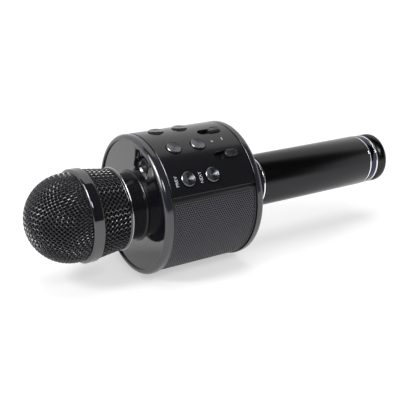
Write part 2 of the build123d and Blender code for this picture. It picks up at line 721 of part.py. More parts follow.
# ---------------------------------------------------------------- rear cap and charging socket
with BuildPart() as rear_cap:
    with BuildSketch(profile_plane) as rear_profile:
        with BuildLine():
            Polyline(
                (chassis_rear_x, COLLAR_BORE),
                (chassis_rear_x, rim_inner_radius - FIT / 2),
                (rear_dish_x, rim_inner_radius - FIT / 2),
                (rear_dish_x, COLLAR_RADIUS),
                (collar_rear_x, COLLAR_RADIUS),
                (collar_rear_x, insert_radius),
                (collar_rear_x + HANDLE_SPIGOT_LENGTH, insert_radius),
                (collar_rear_x + HANDLE_SPIGOT_LENGTH, COLLAR_BORE),
                close=True,
            )
        make_face()
        collar_corner = rear_profile.vertices().sort_by_distance((rear_dish_x, COLLAR_RADIUS))
        fillet(collar_corner[0], COLLAR_FLARE)
    revolve(axis=mic_axis)
    with BuildSketch(section_plane(chassis_rear_x)):
        for angle in SCREW_ANGLES:
            with PolarLocations(SCREW_CIRCLE_RADIUS, 1, PANEL_ANGLE + angle):
                Circle(SCREW_RADIUS + FIT)
    extrude(amount=SCREW_BITE + FIT, mode=Mode.SUBTRACT)
    with BuildSketch(section_plane(chassis_rear_x)):
        with PolarLocations(CHARGE_FROM_AXIS, 1, CHARGE_ANGLE):
            SlotOverall(CHARGE_WIDTH + 2 * FIT, CHARGE_HEIGHT + 2 * FIT, rotation=90)
    extrude(amount=rear_dish_x - chassis_rear_x, mode=Mode.SUBTRACT)
finish(rear_cap.part, "rear_cap")

with BuildPart() as charge_socket:
    with BuildSketch(section_plane(rear_dish_x)):
        with PolarLocations(CHARGE_FROM_AXIS, 1, CHARGE_ANGLE):
            SlotOverall(CHARGE_WIDTH, CHARGE_HEIGHT, rotation=90)
    extrude(amount=-CHARGE_DEPTH)
    with BuildSketch(section_plane(rear_dish_x)):
        with PolarLocations(CHARGE_FROM_AXIS, 1, CHARGE_ANGLE):
            SlotOverall(CHARGE_WIDTH - 2 * CHARGE_WALL, CHARGE_HEIGHT - 2 * CHARGE_WALL, rotation=90)
    extrude(amount=CHARGE_WALL - CHARGE_DEPTH, mode=Mode.SUBTRACT)
    with BuildSketch(section_plane(rear_dish_x - CHARGE_DEPTH)):
        with PolarLocations(CHARGE_FROM_AXIS, 1, CHARGE_ANGLE):
            Rectangle(CHARGE_HEIGHT / 5, CHARGE_WIDTH * 0.7)
    extrude(amount=CHARGE_DEPTH - 1)
finish(charge_socket.part, "charge_socket")

for name, seat_x, inwards in (
    ("front_dish_screws", chassis_front_x + CHASSIS_FLANGE, 1),
    ("rear_cap_screws", chassis_rear_x - CHASSIS_FLANGE, -1),
):
    with BuildPart() as screws:
        for angle in SCREW_ANGLES:
            with BuildSketch(section_plane(seat_x)):
                with PolarLocations(SCREW_CIRCLE_RADIUS, 1, PANEL_ANGLE + angle):
                    Circle(SCREW_HEAD_RADIUS)
            extrude(amount=inwards * SCREW_HEAD_HEIGHT)
            with BuildSketch(section_plane(seat_x)):
                with PolarLocations(SCREW_CIRCLE_RADIUS, 1, PANEL_ANGLE + angle):
                    Circle(SCREW_RADIUS)
            extrude(amount=-inwards * (CHASSIS_FLANGE + SCREW_BITE))
    finish(screws.part, name)

# ---------------------------------------------------------------- handle
for name, ring_x in (
    ("handle_front_ring", collar_rear_x),
    ("tail_ring_inner", handle_rear_x),
    ("tail_ring_outer", tail_band_rear_x),
):
    with BuildPart() as bright_ring:
        revolve(
            tube_profile(ring_x, ring_x + BRIGHT_RING_WIDTH, handle_bore, trim_radius),
            axis=mic_axis,
        )
    finish(bright_ring.part, name)

with BuildPart() as handle_tube:
    revolve(
        tube_profile(handle_front_x, handle_rear_x, handle_bore, HANDLE_RADIUS),
        axis=mic_axis,
    )
finish(handle_tube.part, "handle_tube")

with BuildPart() as tail_band:
    revolve(
        tube_profile(tail_band_front_x, tail_band_rear_x, handle_bore, trim_radius),
        axis=mic_axis,
    )
finish(tail_band.part, "tail_band")

tail_insert_front_x = handle_rear_x - TAIL_INSERT_GRIP
with BuildPart() as tail_insert:
    revolve(
        tube_profile(tail_insert_front_x, end_cap_front_x, TAIL_BORE, insert_radius),
        axis=mic_axis,
    )
finish(tail_insert.part, "tail_insert")

contact_x = collar_rear_x + HANDLE_SPIGOT_LENGTH
battery_front_x = contact_x + CONTACT_THICKNESS + BATTERY_NUB_HEIGHT + FIT
battery_rear_x = battery_front_x + BATTERY_LENGTH
with BuildPart() as battery_contact:
    with BuildSketch(section_plane(contact_x)):
        Circle(CONTACT_RADIUS)
    extrude(amount=CONTACT_THICKNESS)
finish(battery_contact.part, "battery_contact")

with BuildPart() as battery_cell:
    with BuildSketch(section_plane(battery_front_x)):
        Circle(BATTERY_RADIUS)
    extrude(amount=BATTERY_LENGTH)
    with BuildSketch(section_plane(battery_front_x)):
        Circle(BATTERY_NUB_RADIUS)
    extrude(amount=-BATTERY_NUB_HEIGHT)
finish(battery_cell.part, "battery_cell")

with BuildPart() as battery_sleeve:
    revolve(
        tube_profile(
            contact_x + CONTACT_THICKNESS + FIT,
            battery_rear_x - HANDLE_WALL,
            BATTERY_RADIUS + FIT,
            insert_radius,
        ),
        axis=mic_axis,
    )
finish(battery_sleeve.part, "battery_sleeve")

plug_radius = TAIL_BORE - RUN
plug_front_x = end_cap_front_x - PLUG_LENGTH
with BuildPart() as end_cap:
    with BuildSketch(profile_plane) as end_profile:
        with BuildLine():
            Polyline(
                (plug_front_x, plug_radius - PLUG_WALL),
                (plug_front_x, plug_radius),
                (end_cap_front_x + SEAT, plug_radius),
                (end_cap_front_x + SEAT, trim_radius),
                (end_x, trim_radius),
                (end_x, 0),
                (end_cap_front_x + SEAT, 0),
                (end_cap_front_x + SEAT, plug_radius - PLUG_WALL),
                close=True,
            )
        make_face()
        end_corner = end_profile.vertices().sort_by_distance((end_x, trim_radius))[0]
        fillet(end_corner, END_CAP_ROUNDING)
    revolve(axis=mic_axis)
finish(end_cap.part, "end_cap")

with BuildPart() as battery_spring:
    with BuildSketch(section_plane(battery_rear_x + RUN)):
        Circle(SPRING_TIP_RADIUS)
    with BuildSketch(section_plane(end_cap_front_x + SEAT)):
        Circle(SPRING_BASE_RADIUS)
    loft()
finish(battery_spring.part, "battery_spring")
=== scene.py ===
"""Looks of a wireless karaoke microphone that lies on its round speaker barrel."""
import json
import logging
import math
from dataclasses import dataclass
from enum import Enum

import bmesh
import bpy
import numpy as np
from mathutils import Matrix, Vector

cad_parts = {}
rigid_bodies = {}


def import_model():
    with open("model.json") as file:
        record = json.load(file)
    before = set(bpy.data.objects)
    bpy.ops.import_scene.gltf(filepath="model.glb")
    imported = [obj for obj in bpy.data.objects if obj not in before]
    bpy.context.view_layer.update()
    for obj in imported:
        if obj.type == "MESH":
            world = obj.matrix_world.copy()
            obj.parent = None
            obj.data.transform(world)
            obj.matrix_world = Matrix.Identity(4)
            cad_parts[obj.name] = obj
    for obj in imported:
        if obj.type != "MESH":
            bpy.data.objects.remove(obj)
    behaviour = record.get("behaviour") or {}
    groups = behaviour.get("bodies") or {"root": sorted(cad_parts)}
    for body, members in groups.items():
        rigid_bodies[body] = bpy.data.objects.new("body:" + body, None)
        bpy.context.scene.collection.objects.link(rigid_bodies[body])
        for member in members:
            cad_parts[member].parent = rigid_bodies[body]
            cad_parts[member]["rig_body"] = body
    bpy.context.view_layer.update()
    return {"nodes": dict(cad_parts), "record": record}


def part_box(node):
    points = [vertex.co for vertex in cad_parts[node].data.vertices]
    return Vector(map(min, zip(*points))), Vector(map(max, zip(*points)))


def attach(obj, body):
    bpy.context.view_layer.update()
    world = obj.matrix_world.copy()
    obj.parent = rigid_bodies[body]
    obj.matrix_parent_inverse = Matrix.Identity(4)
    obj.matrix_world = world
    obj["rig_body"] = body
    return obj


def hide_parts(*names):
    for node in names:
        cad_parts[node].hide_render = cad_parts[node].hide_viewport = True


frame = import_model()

MM = 0.001
LOG = logging.getLogger("microphone")
MAIN_BODY = "microphone"
HEAD_BODY = "grille_head"
ALONG = np.array([1.0, 0.0, 0.0])
WHITE = (1.0, 1.0, 1.0, 1.0)
SHARP_EDGE = math.radians(32)
COPY_SHARP_EDGE = math.radians(28)
MERGE_DISTANCE = 1e-6


def node_box(node: str) -> tuple[np.ndarray, np.ndarray]:
    """Lowest and highest corner of a CAD node in millimetres.

    Args:
        node: the CAD node's name.

    Returns:
        The two corners as arrays.
    """
    low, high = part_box(node)
    return np.array(low) / MM, np.array(high) / MM


def node_span(node: str) -> tuple[float, float]:
    """Where a CAD node starts and ends along the axis, in millimetres."""
    low, high = node_box(node)
    return low[0], high[0]


def node_radius(node: str) -> float:
    """Radius of a round CAD node, half its box's height, in millimetres."""
    low, high = node_box(node)
    return (high[2] - low[2]) / 2


def node_points(node: str) -> np.ndarray:
    """Points of a CAD node's mesh.

    Args:
        node: the CAD node's name.

    Returns:
        The points in millimetres, one row each.
    """
    mesh = frame["nodes"][node].data
    points = np.empty(len(mesh.vertices) * 3, np.float32)
    mesh.vertices.foreach_get("co", points)
    return points.reshape(-1, 3) / MM


AXIS_HEIGHT = float(np.mean([corner[2] for corner in node_box("front_rim")]))


def around(x: np.ndarray, radius: np.ndarray, angle: np.ndarray) -> np.ndarray:
    """Points round the microphone's axis, angles in radians from straight up towards -Y.

    A point is x along the axis, minus radius times the sine across it, and the axis height plus
    radius times the cosine upwards.

    Args:
        x: stations along the axis.
        radius: distances from the axis.
        angle: angles round the axis.

    Returns:
        Points with x, y and z in the last dimension.
    """
    x, radius, angle = np.broadcast_arrays(x, radius, angle)
    return np.stack([x, -radius * np.sin(angle), AXIS_HEIGHT + radius * np.cos(angle)], axis=-1)


def directions(angle: float) -> tuple[np.ndarray, np.ndarray]:
    """Directions at an angle round the axis: straight out from it, and across towards larger angles."""
    sine, cosine = math.sin(angle), math.cos(angle)
    return np.array([0, -sine, cosine]), np.array([0, -cosine, -sine])


# ---------------------------------------------------------------- meshes
def add_object(name: str, data: bpy.types.ID) -> bpy.types.Object:
    """Put a new object into the scene.

    Args:
        name: its name.
        data: the mesh, lamp, camera or curve that it holds.

    Returns:
        The object, at the origin.
    """
    made = bpy.data.objects.new(name, data)
    bpy.context.scene.collection.objects.link(made)
    return made


def mesh_object(name: str, points: np.ndarray, faces: np.ndarray,
                uv: np.ndarray | None = None) -> bpy.types.Object:
    """Make an object from arrays of points and equal-sided faces.

    Args:
        name: the piece's name.
        points: corner points in millimetres, one row each.
        faces: corner numbers, one row for each face.
        uv: optional map position of each point.

    Returns:
        The new object, at the origin, shaded smooth with sharp edges kept.
    """
    points = np.asarray(points, float).reshape(-1, 3)
    faces = np.asarray(faces, np.int32)
    count, sides = faces.shape
    mesh = bpy.data.meshes.new(name)
    mesh.vertices.add(len(points))
    mesh.vertices.foreach_set("co", (points * MM).astype(np.float32).ravel())
    mesh.loops.add(count * sides)
    mesh.loops.foreach_set("vertex_index", faces.ravel())
    mesh.polygons.add(count)
    mesh.polygons.foreach_set("loop_start", np.arange(0, count * sides, sides, dtype=np.int32))
    mesh.polygons.foreach_set("use_smooth", np.ones(count, bool))
    if uv is not None:
        layer = mesh.uv_layers.new(name="surface")
        layer.data.foreach_set("uv", np.asarray(uv, np.float32).reshape(-1, 2)[faces.ravel()].ravel())
    mesh.update(calc_edges=True)
    mesh.validate()
    mesh.set_sharp_from_angle(angle=SHARP_EDGE)
    return add_object(name, mesh)


def grid_faces(rows: int, columns: int, wrap_rows: bool = False, wrap_columns: bool = False) -> np.ndarray:
    """Four-sided faces of a grid of points numbered row by row.

    Args:
        rows: number of rows.
        columns: number of columns.
        wrap_rows: join the last row to the first.
        wrap_columns: join the last column to the first.

    Returns:
        Corner numbers of each face.
    """
    row = np.arange(rows if wrap_rows else rows - 1)[:, None]
    column = np.arange(columns if wrap_columns else columns - 1)[None, :]
    next_row = (row + 1) % rows
    next_column = (column + 1) % columns
    corners = [row * columns + column, row * columns + next_column,
               next_row * columns + next_column, next_row * columns + column]
    return np.stack([np.broadcast_to(c, (row.size, column.size)) for c in corners], axis=-1).reshape(-1, 4)


def rounded_outline(corners: list[tuple[float, float, float]], steps: int = 6) -> np.ndarray:
    """Closed outline whose corners are arcs.

    Each corner is cut back by its radius over the tangent of half its opening, and an arc of that
    radius joins the two cuts.

    Args:
        corners: (x, radius, rounding) of each corner in order.
        steps: pieces in each arc.

    Returns:
        The outline's points.
    """
    outline = []
    count = len(corners)
    for index, (x, y, rounding) in enumerate(corners):
        here = np.array([x, y])
        if rounding <= 0:
            outline.append(here)
            continue
        before = np.array(corners[index - 1][:2]) - here
        after = np.array(corners[(index + 1) % count][:2]) - here
        before /= np.linalg.norm(before)
        after /= np.linalg.norm(after)
        half = math.acos(np.clip(before @ after, -1, 1)) / 2
        bisector = (before + after) / np.linalg.norm(before + after)
        centre = here + bisector * rounding / math.sin(half)
        start = here + before * rounding / math.tan(half) - centre
        end = here + after * rounding / math.tan(half) - centre
        first = math.atan2(start[1], start[0])
        sweep = (math.atan2(end[1], end[0]) - first + math.pi) % (2 * math.pi) - math.pi
        angles = first + sweep * np.linspace(0, 1, steps + 1)
        outline.extend(centre + rounding * np.stack([np.cos(angles), np.sin(angles)], axis=-1))
    return np.array(outline)


def turned(name: str, outline: np.ndarray, segments: int = 160) -> bpy.types.Object:
    """Turn a closed (x, radius) outline round the microphone's axis.

    The points are the outline at each of the evenly spaced angles round the axis.

    Args:
        name: the piece's name.
        outline: closed outline, without a repeated last point.
        segments: steps round the axis.

    Returns:
        The turned piece, facing outwards.
    """
    following = np.roll(outline, -1, axis=0)
    area = np.sum(outline[:, 0] * following[:, 1] - following[:, 0] * outline[:, 1])
    if area < 0:
        outline = outline[::-1]
    angles = np.linspace(0, 2 * math.pi, segments, endpoint=False)
    points = around(outline[None, :, 0], outline[None, :, 1], angles[:, None])
    return mesh_object(name, points, grid_faces(segments, len(outline), True, True))


def wire_tubes(name: str, paths: list[np.ndarray], normals: list[np.ndarray], wire: float,
               sides: int = 6) -> bpy.types.Object:
    """Round wires along paths.

    Each point of a path carries a ring of the wire's radius in the plane of the surface normal and
    the direction square to it and to the path.

    Args:
        name: the piece's name.
        paths: points of each wire.
        normals: surface normals at those points.
        wire: the wire's radius.
        sides: sides of the wire's section.

    Returns:
        One piece that holds all the wires.
    """
    ring = np.linspace(0, 2 * math.pi, sides, endpoint=False)
    all_points = []
    all_faces = []
    first = 0
    for path, normal in zip(paths, normals):
        tangent = np.gradient(path, axis=0)
        tangent /= np.linalg.norm(tangent, axis=1, keepdims=True)
        across = np.cross(tangent, normal)
        across /= np.linalg.norm(across, axis=1, keepdims=True)
        upright = np.cross(across, tangent)
        offset = np.cos(ring)[:, None] * across[:, None] + np.sin(ring)[:, None] * upright[:, None]
        all_points.append((path[:, None] + wire * offset).reshape(-1, 3))
        all_faces.append(grid_faces(len(path), sides, False, True)[:, ::-1] + first)
        first += len(path) * sides
    return mesh_object(name, np.concatenate(all_points), np.concatenate(all_faces))


def smooth_copy(node: str) -> bpy.types.Object:
    """A merged, smoothly shaded copy of a CAD node that takes its place.

    Args:
        node: the CAD node's name.

    Returns:
        The copy, riding on the node's body.
    """
    source = frame["nodes"][node]
    work = bmesh.new()
    work.from_mesh(source.data)
    bmesh.ops.remove_doubles(work, verts=work.verts, dist=MERGE_DISTANCE)
    mesh = bpy.data.meshes.new(f"{node}_surface")
    work.to_mesh(mesh)
    work.free()
    mesh.materials.clear()
    mesh.polygons.foreach_set("use_smooth", np.ones(len(mesh.polygons), bool))
    mesh.set_sharp_from_angle(angle=COPY_SHARP_EDGE)
    piece = add_object(mesh.name, mesh)
    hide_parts(node)
    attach(piece, source["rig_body"])
    return piece


# ---------------------------------------------------------------- finishes
def new_nodes(nodes: bpy.types.Nodes, *kinds: str) -> list[bpy.types.Node]:
    """New shader nodes of the kinds given, in their order."""
    return [nodes.new(f"ShaderNode{kind}") for kind in kinds]


def set_inputs(node: bpy.types.Node, values: dict[str | int, object]) -> None:
    """Give input sockets of a shader node, found by name or number, their constants."""
    for socket, value in values.items():
        node.inputs[socket].default_value = value


def join(links: bpy.types.NodeLinks, *pairs: tuple[bpy.types.NodeSocket, bpy.types.NodeSocket]) -> None:
    """Link pairs of sockets, the output first."""
    for start, end in pairs:
        links.new(start, end)


def seen_directly(nodes: bpy.types.Nodes, links: bpy.types.NodeLinks) -> bpy.types.NodeSocket:
    """Tell what is seen, mirrored or looked through from what only gives light.

    Args:
        nodes: the shader's nodes.
        links: the shader's links.

    Returns:
        A socket that is 1 on camera, glossy and transmission rays, and 0 on others.
    """
    path = nodes.new("ShaderNodeLightPath")
    seen = path.outputs["Is Camera Ray"]
    for ray in ("Is Glossy Ray", "Is Transmission Ray"):
        either = nodes.new("ShaderNodeMath")
        either.operation = "MAXIMUM"
        join(links, (seen, either.inputs[0]), (path.outputs[ray], either.inputs[1]))
        seen = either.outputs[0]
    return seen


class Pattern(Enum):
    """How a finish's grain runs."""

    FINE = "fine"
    TURNED = "turned"
    SPUN = "spun"
    CLOTH = "cloth"
    CELLS = "cells"


@dataclass(frozen=True)
class Finish:
    """A surface finish.

    The grain drives the roughness between two limits and a slight bump, and the colour wanders
    between two tones.
    """

    name: str
    colour: tuple[float, float, float]
    metallic: float = 0.0
    roughness: float = 0.3
    roughness_spread: float = 0.06
    grain: float = 900.0
    bump: float = 0.02
    tone: float = 0.15
    coat: float = 0.0
    specular: float = 0.5
    anisotropy: float = 0.0
    pattern: Pattern = Pattern.FINE
    ior: float = 1.5

    def material(self) -> bpy.types.Material:
        """Make the node material, or give the one already made."""
        made = bpy.data.materials.get(self.name)
        if made:
            return made
        material = bpy.data.materials.new(self.name)
        material.use_nodes = True
        nodes, links = material.node_tree.nodes, material.node_tree.links
        place, mapping, cloud, tones, spread, relief = new_nodes(
            nodes, "TexCoord", "Mapping", "TexNoise", "Mix", "MapRange", "Bump")
        shader = nodes["Principled BSDF"]
        set_inputs(shader, {
            "Metallic": self.metallic,
            "Coat Weight": self.coat,
            "Coat Roughness": 0.03,
            "Specular IOR Level": self.specular,
            "Anisotropic": self.anisotropy,
            "IOR": self.ior,
        })
        set_inputs(cloud, {"Scale": 45.0, "Detail": 3.0})
        tones.data_type = "RGBA"
        dark_tone, light_tone, mixed_tone = 6, 7, 2
        set_inputs(tones, {
            dark_tone: (*[c * (1 - self.tone) for c in self.colour], 1),
            light_tone: (*[min(1, c * (1 + self.tone)) for c in self.colour], 1),
        })
        set_inputs(spread, {
            "To Min": max(0.01, self.roughness - self.roughness_spread),
            "To Max": min(1.0, self.roughness + self.roughness_spread),
        })
        set_inputs(relief, {"Strength": self.bump, "Distance": 0.0002})
        source = "UV" if self.pattern is Pattern.SPUN else "Object"
        join(links, (place.outputs[source], mapping.inputs["Vector"]))
        grain = self._grain(nodes, links, mapping)
        join(
            links,
            (place.outputs["Object"], cloud.inputs["Vector"]),
            (cloud.outputs["Fac"], tones.inputs["Factor"]),
            (tones.outputs[mixed_tone], shader.inputs["Base Color"]),
            (grain, spread.inputs["Value"]),
            (spread.outputs["Result"], shader.inputs["Roughness"]),
            (grain, relief.inputs["Height"]),
            (relief.outputs["Normal"], shader.inputs["Normal"]),
        )
        if self.pattern is Pattern.SPUN:
            direction = nodes.new("ShaderNodeTangent")
            direction.direction_type = "UV_MAP"
            direction.uv_map = "surface"
            join(links, (direction.outputs["Tangent"], shader.inputs["Tangent"]))
        return material

    def _grain(self, nodes: bpy.types.Nodes, links: bpy.types.NodeLinks,
               mapping: bpy.types.Node) -> bpy.types.NodeSocket:
        """The grain's height, from 0 to 1.

        Args:
            nodes: the material's nodes.
            links: the material's links.
            mapping: the node that places the pattern.

        Returns:
            The socket that carries the height.
        """
        kind, carried = {
            Pattern.CELLS: ("TexVoronoi", "Distance"),
            Pattern.CLOTH: ("TexWave", "Fac"),
        }.get(self.pattern, ("TexNoise", "Fac"))
        texture = nodes.new(f"ShaderNode{kind}")
        set_inputs(texture, {"Scale": self.grain})
        if kind == "TexWave":
            texture.wave_type = "BANDS"
            texture.bands_direction = "DIAGONAL"
        if kind == "TexNoise":
            set_inputs(texture, {"Detail": 4.0})
        stretch = {Pattern.TURNED: (12.0, 1.0, 1.0), Pattern.SPUN: (0.5, 30.0, 1.0)}
        set_inputs(mapping, {"Scale": stretch.get(self.pattern, (1.0, 1.0, 1.0))})
        join(links, (mapping.outputs["Vector"], texture.inputs["Vector"]))
        return texture.outputs[carried]


BLACK_CHROME = Finish(
    "gloss_black_lacquer", (0.008, 0.008, 0.011), roughness=0.07, roughness_spread=0.02, grain=400.0,
    bump=0.004, tone=0.04, ior=1.85)
RIM_CHROME = Finish(
    "rim_dark_chrome", (0.018, 0.019, 0.024), roughness=0.14, roughness_spread=0.03, grain=400.0,
    bump=0.006, tone=0.04, ior=1.75)
NECK_BLACK = Finish(
    "neck_lacquer", (0.008, 0.008, 0.01), roughness=0.2, roughness_spread=0.03, grain=400.0, bump=0.004,
    tone=0.04, ior=1.38)
WIRE_BLACK = Finish(
    "coated_wire", (0.028, 0.028, 0.032), roughness=0.2, grain=1500.0, bump=0.08, tone=0.3, ior=1.6)
FOAM_BLACK = Finish(
    "open_foam", (0.006, 0.006, 0.006), roughness=0.95, roughness_spread=0.04, grain=1400.0, bump=0.6,
    tone=0.4, specular=0.1, pattern=Pattern.CELLS)
PANEL_BLACK = Finish(
    "panel_gloss", (0.008, 0.008, 0.0095), roughness=0.2, roughness_spread=0.03, grain=500.0, bump=0.006,
    tone=0.1)
SPUN_METAL = Finish(
    "spun_button", (0.15, 0.156, 0.17), metallic=1.0, roughness=0.22, roughness_spread=0.05, grain=60.0,
    bump=0.03, tone=0.1, anisotropy=0.5, pattern=Pattern.SPUN)
BUTTON_SIDE = Finish("button_side", (0.02, 0.02, 0.023), roughness=0.25, roughness_spread=0.05, grain=700.0)
KNOB_BLACK = Finish("knob_satin", (0.014, 0.014, 0.016), roughness_spread=0.05, grain=1200.0, bump=0.04)
MESH_BLACK = Finish(
    "mesh_paint", (0.078, 0.076, 0.088), roughness=0.38, roughness_spread=0.05, grain=1200.0, bump=0.04,
    tone=0.1)
# Painted shade: the sheet's border strip is coloured far darker than the mesh to stand for the shadow in the
# gap under the panel's edge.
MESH_EDGE_SHADE = Finish(
    "mesh_edge_painted_shade", (0.012, 0.012, 0.014), roughness=0.45, roughness_spread=0.05, grain=1200.0,
    bump=0.04, tone=0.1)
# Dust cloth behind the speaker holes: a black cloth whose colour is pushed darker still as painted shade, so
# the holes read as shadow.
CLOTH_SHADE_BLACK = Finish(
    "dust_cloth_shade", (0.003, 0.003, 0.0035), roughness=0.95, roughness_spread=0.03, bump=0.3, tone=0.2,
    specular=0.1, pattern=Pattern.CLOTH)
HANDLE_SATIN = Finish(
    "handle_anodised", (0.038, 0.038, 0.04), metallic=1.0, roughness=0.26, roughness_spread=0.012,
    grain=1500.0, bump=0.003, tone=0.02, pattern=Pattern.TURNED)
RING_EDGE = Finish(
    "ring_edge", (0.42, 0.42, 0.44), metallic=1.0, roughness=0.18, roughness_spread=0.04, grain=500.0,
    bump=0.01, tone=0.03)
BRIGHT_CUT = Finish(
    "diamond_cut", (0.86, 0.87, 0.9), metallic=1.0, roughness=0.12, roughness_spread=0.04, grain=500.0,
    bump=0.01, tone=0.03, pattern=Pattern.TURNED)
BAND_GLOSS = Finish(
    "tail_band_gloss", (0.045, 0.048, 0.075), metallic=1.0, roughness=0.1, roughness_spread=0.03,
    grain=500.0, bump=0.01, tone=0.05)
PLASTIC_BLACK = Finish(
    "moulded_plastic", (0.01, 0.01, 0.011), roughness=0.4, roughness_spread=0.08, grain=1600.0, bump=0.15)
JACK_BLACK = Finish(
    "jack_plastic", (0.006, 0.006, 0.007), roughness=0.45, roughness_spread=0.05, grain=1600.0, bump=0.05,
    ior=1.3)
PRINT_WHITE = Finish(
    "white_print", (0.75, 0.76, 0.79), roughness=0.5, roughness_spread=0.05, grain=2500.0, bump=0.05,
    tone=0.05)
RUBBER_BLACK = Finish(
    "soft_rubber", (0.015, 0.015, 0.015), roughness=0.8, roughness_spread=0.05, grain=1500.0, bump=0.2)
SOLDER_MASK = Finish(
    "solder_mask", (0.01, 0.07, 0.025), roughness=0.35, roughness_spread=0.05, grain=600.0, bump=0.05,
    tone=0.3)
STEEL = Finish(
    "plain_steel", (0.6, 0.6, 0.61), metallic=1.0, roughness_spread=0.08, grain=800.0, bump=0.03,
    tone=0.06)
MAGNET_GREY = Finish(
    "ferrite", (0.05, 0.05, 0.055), metallic=0.3, roughness=0.6, roughness_spread=0.08, bump=0.15)
CONE_PAPER = Finish(
    "cone_paper", (0.012, 0.012, 0.012), roughness=0.85, roughness_spread=0.05, grain=1000.0, bump=0.4)
CELL_WRAP = Finish("cell_wrap", (0.03, 0.11, 0.3), roughness_spread=0.05, grain=300.0, tone=0.08, coat=0.4)
CAPSULE_METAL = Finish(
    "capsule_metal", (0.62, 0.62, 0.64), metallic=1.0, roughness=0.28, bump=0.03, tone=0.05)

SLOT_FINISHES = {
    "woven_wire": WIRE_BLACK,
    "gloss_black": BLACK_CHROME,
    "panel_black": PANEL_BLACK,
    "base_ring": BLACK_CHROME,
    "foam": FOAM_BLACK,
    "capsule": CAPSULE_METAL,
    "soft_rubber": RUBBER_BLACK,
    "rim": RIM_CHROME,
    "jack": JACK_BLACK,
    "chassis": PLASTIC_BLACK,
    "button": SPUN_METAL,
    "knob": KNOB_BLACK,
    "speaker_mesh": MESH_BLACK,
    "board": SOLDER_MASK,
    "switch": STEEL,
    "basket": PLASTIC_BLACK,
    "cone": CONE_PAPER,
    "magnet": MAGNET_GREY,
    "radiator": RUBBER_BLACK,
    "steel": STEEL,
    "bright": BRIGHT_CUT,
    "handle": HANDLE_SATIN,
    "tail_band": BAND_GLOSS,
    "insert": PLASTIC_BLACK,
    "cell": CELL_WRAP,
}
NODE_FINISHES = {"slide_pots": PLASTIC_BLACK}


def dress(piece: bpy.types.Object, finish: Finish) -> None:
    """Give a piece its finish.

    Args:
        piece: the object.
        finish: its finish.
    """
    piece.data.materials.clear()
    piece.data.materials.append(finish.material())


def settle(piece: bpy.types.Object, finish: Finish, slot: str, body: str, *nodes: str) -> bpy.types.Object:
    """Dress a new piece, put it on its body and let it stand for its CAD nodes.

    Args:
        piece: the object.
        finish: its finish.
        slot: the record's material slot; not used.
        body: the body that it rides on.
        nodes: the CAD nodes that it replaces.

    Returns:
        The same piece.
    """
    dress(piece, finish)
    if nodes:
        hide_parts(*nodes)
    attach(piece, body)
    LOG.info("made %s on %s with %d faces", piece.name, body, len(piece.data.polygons))
    return piece


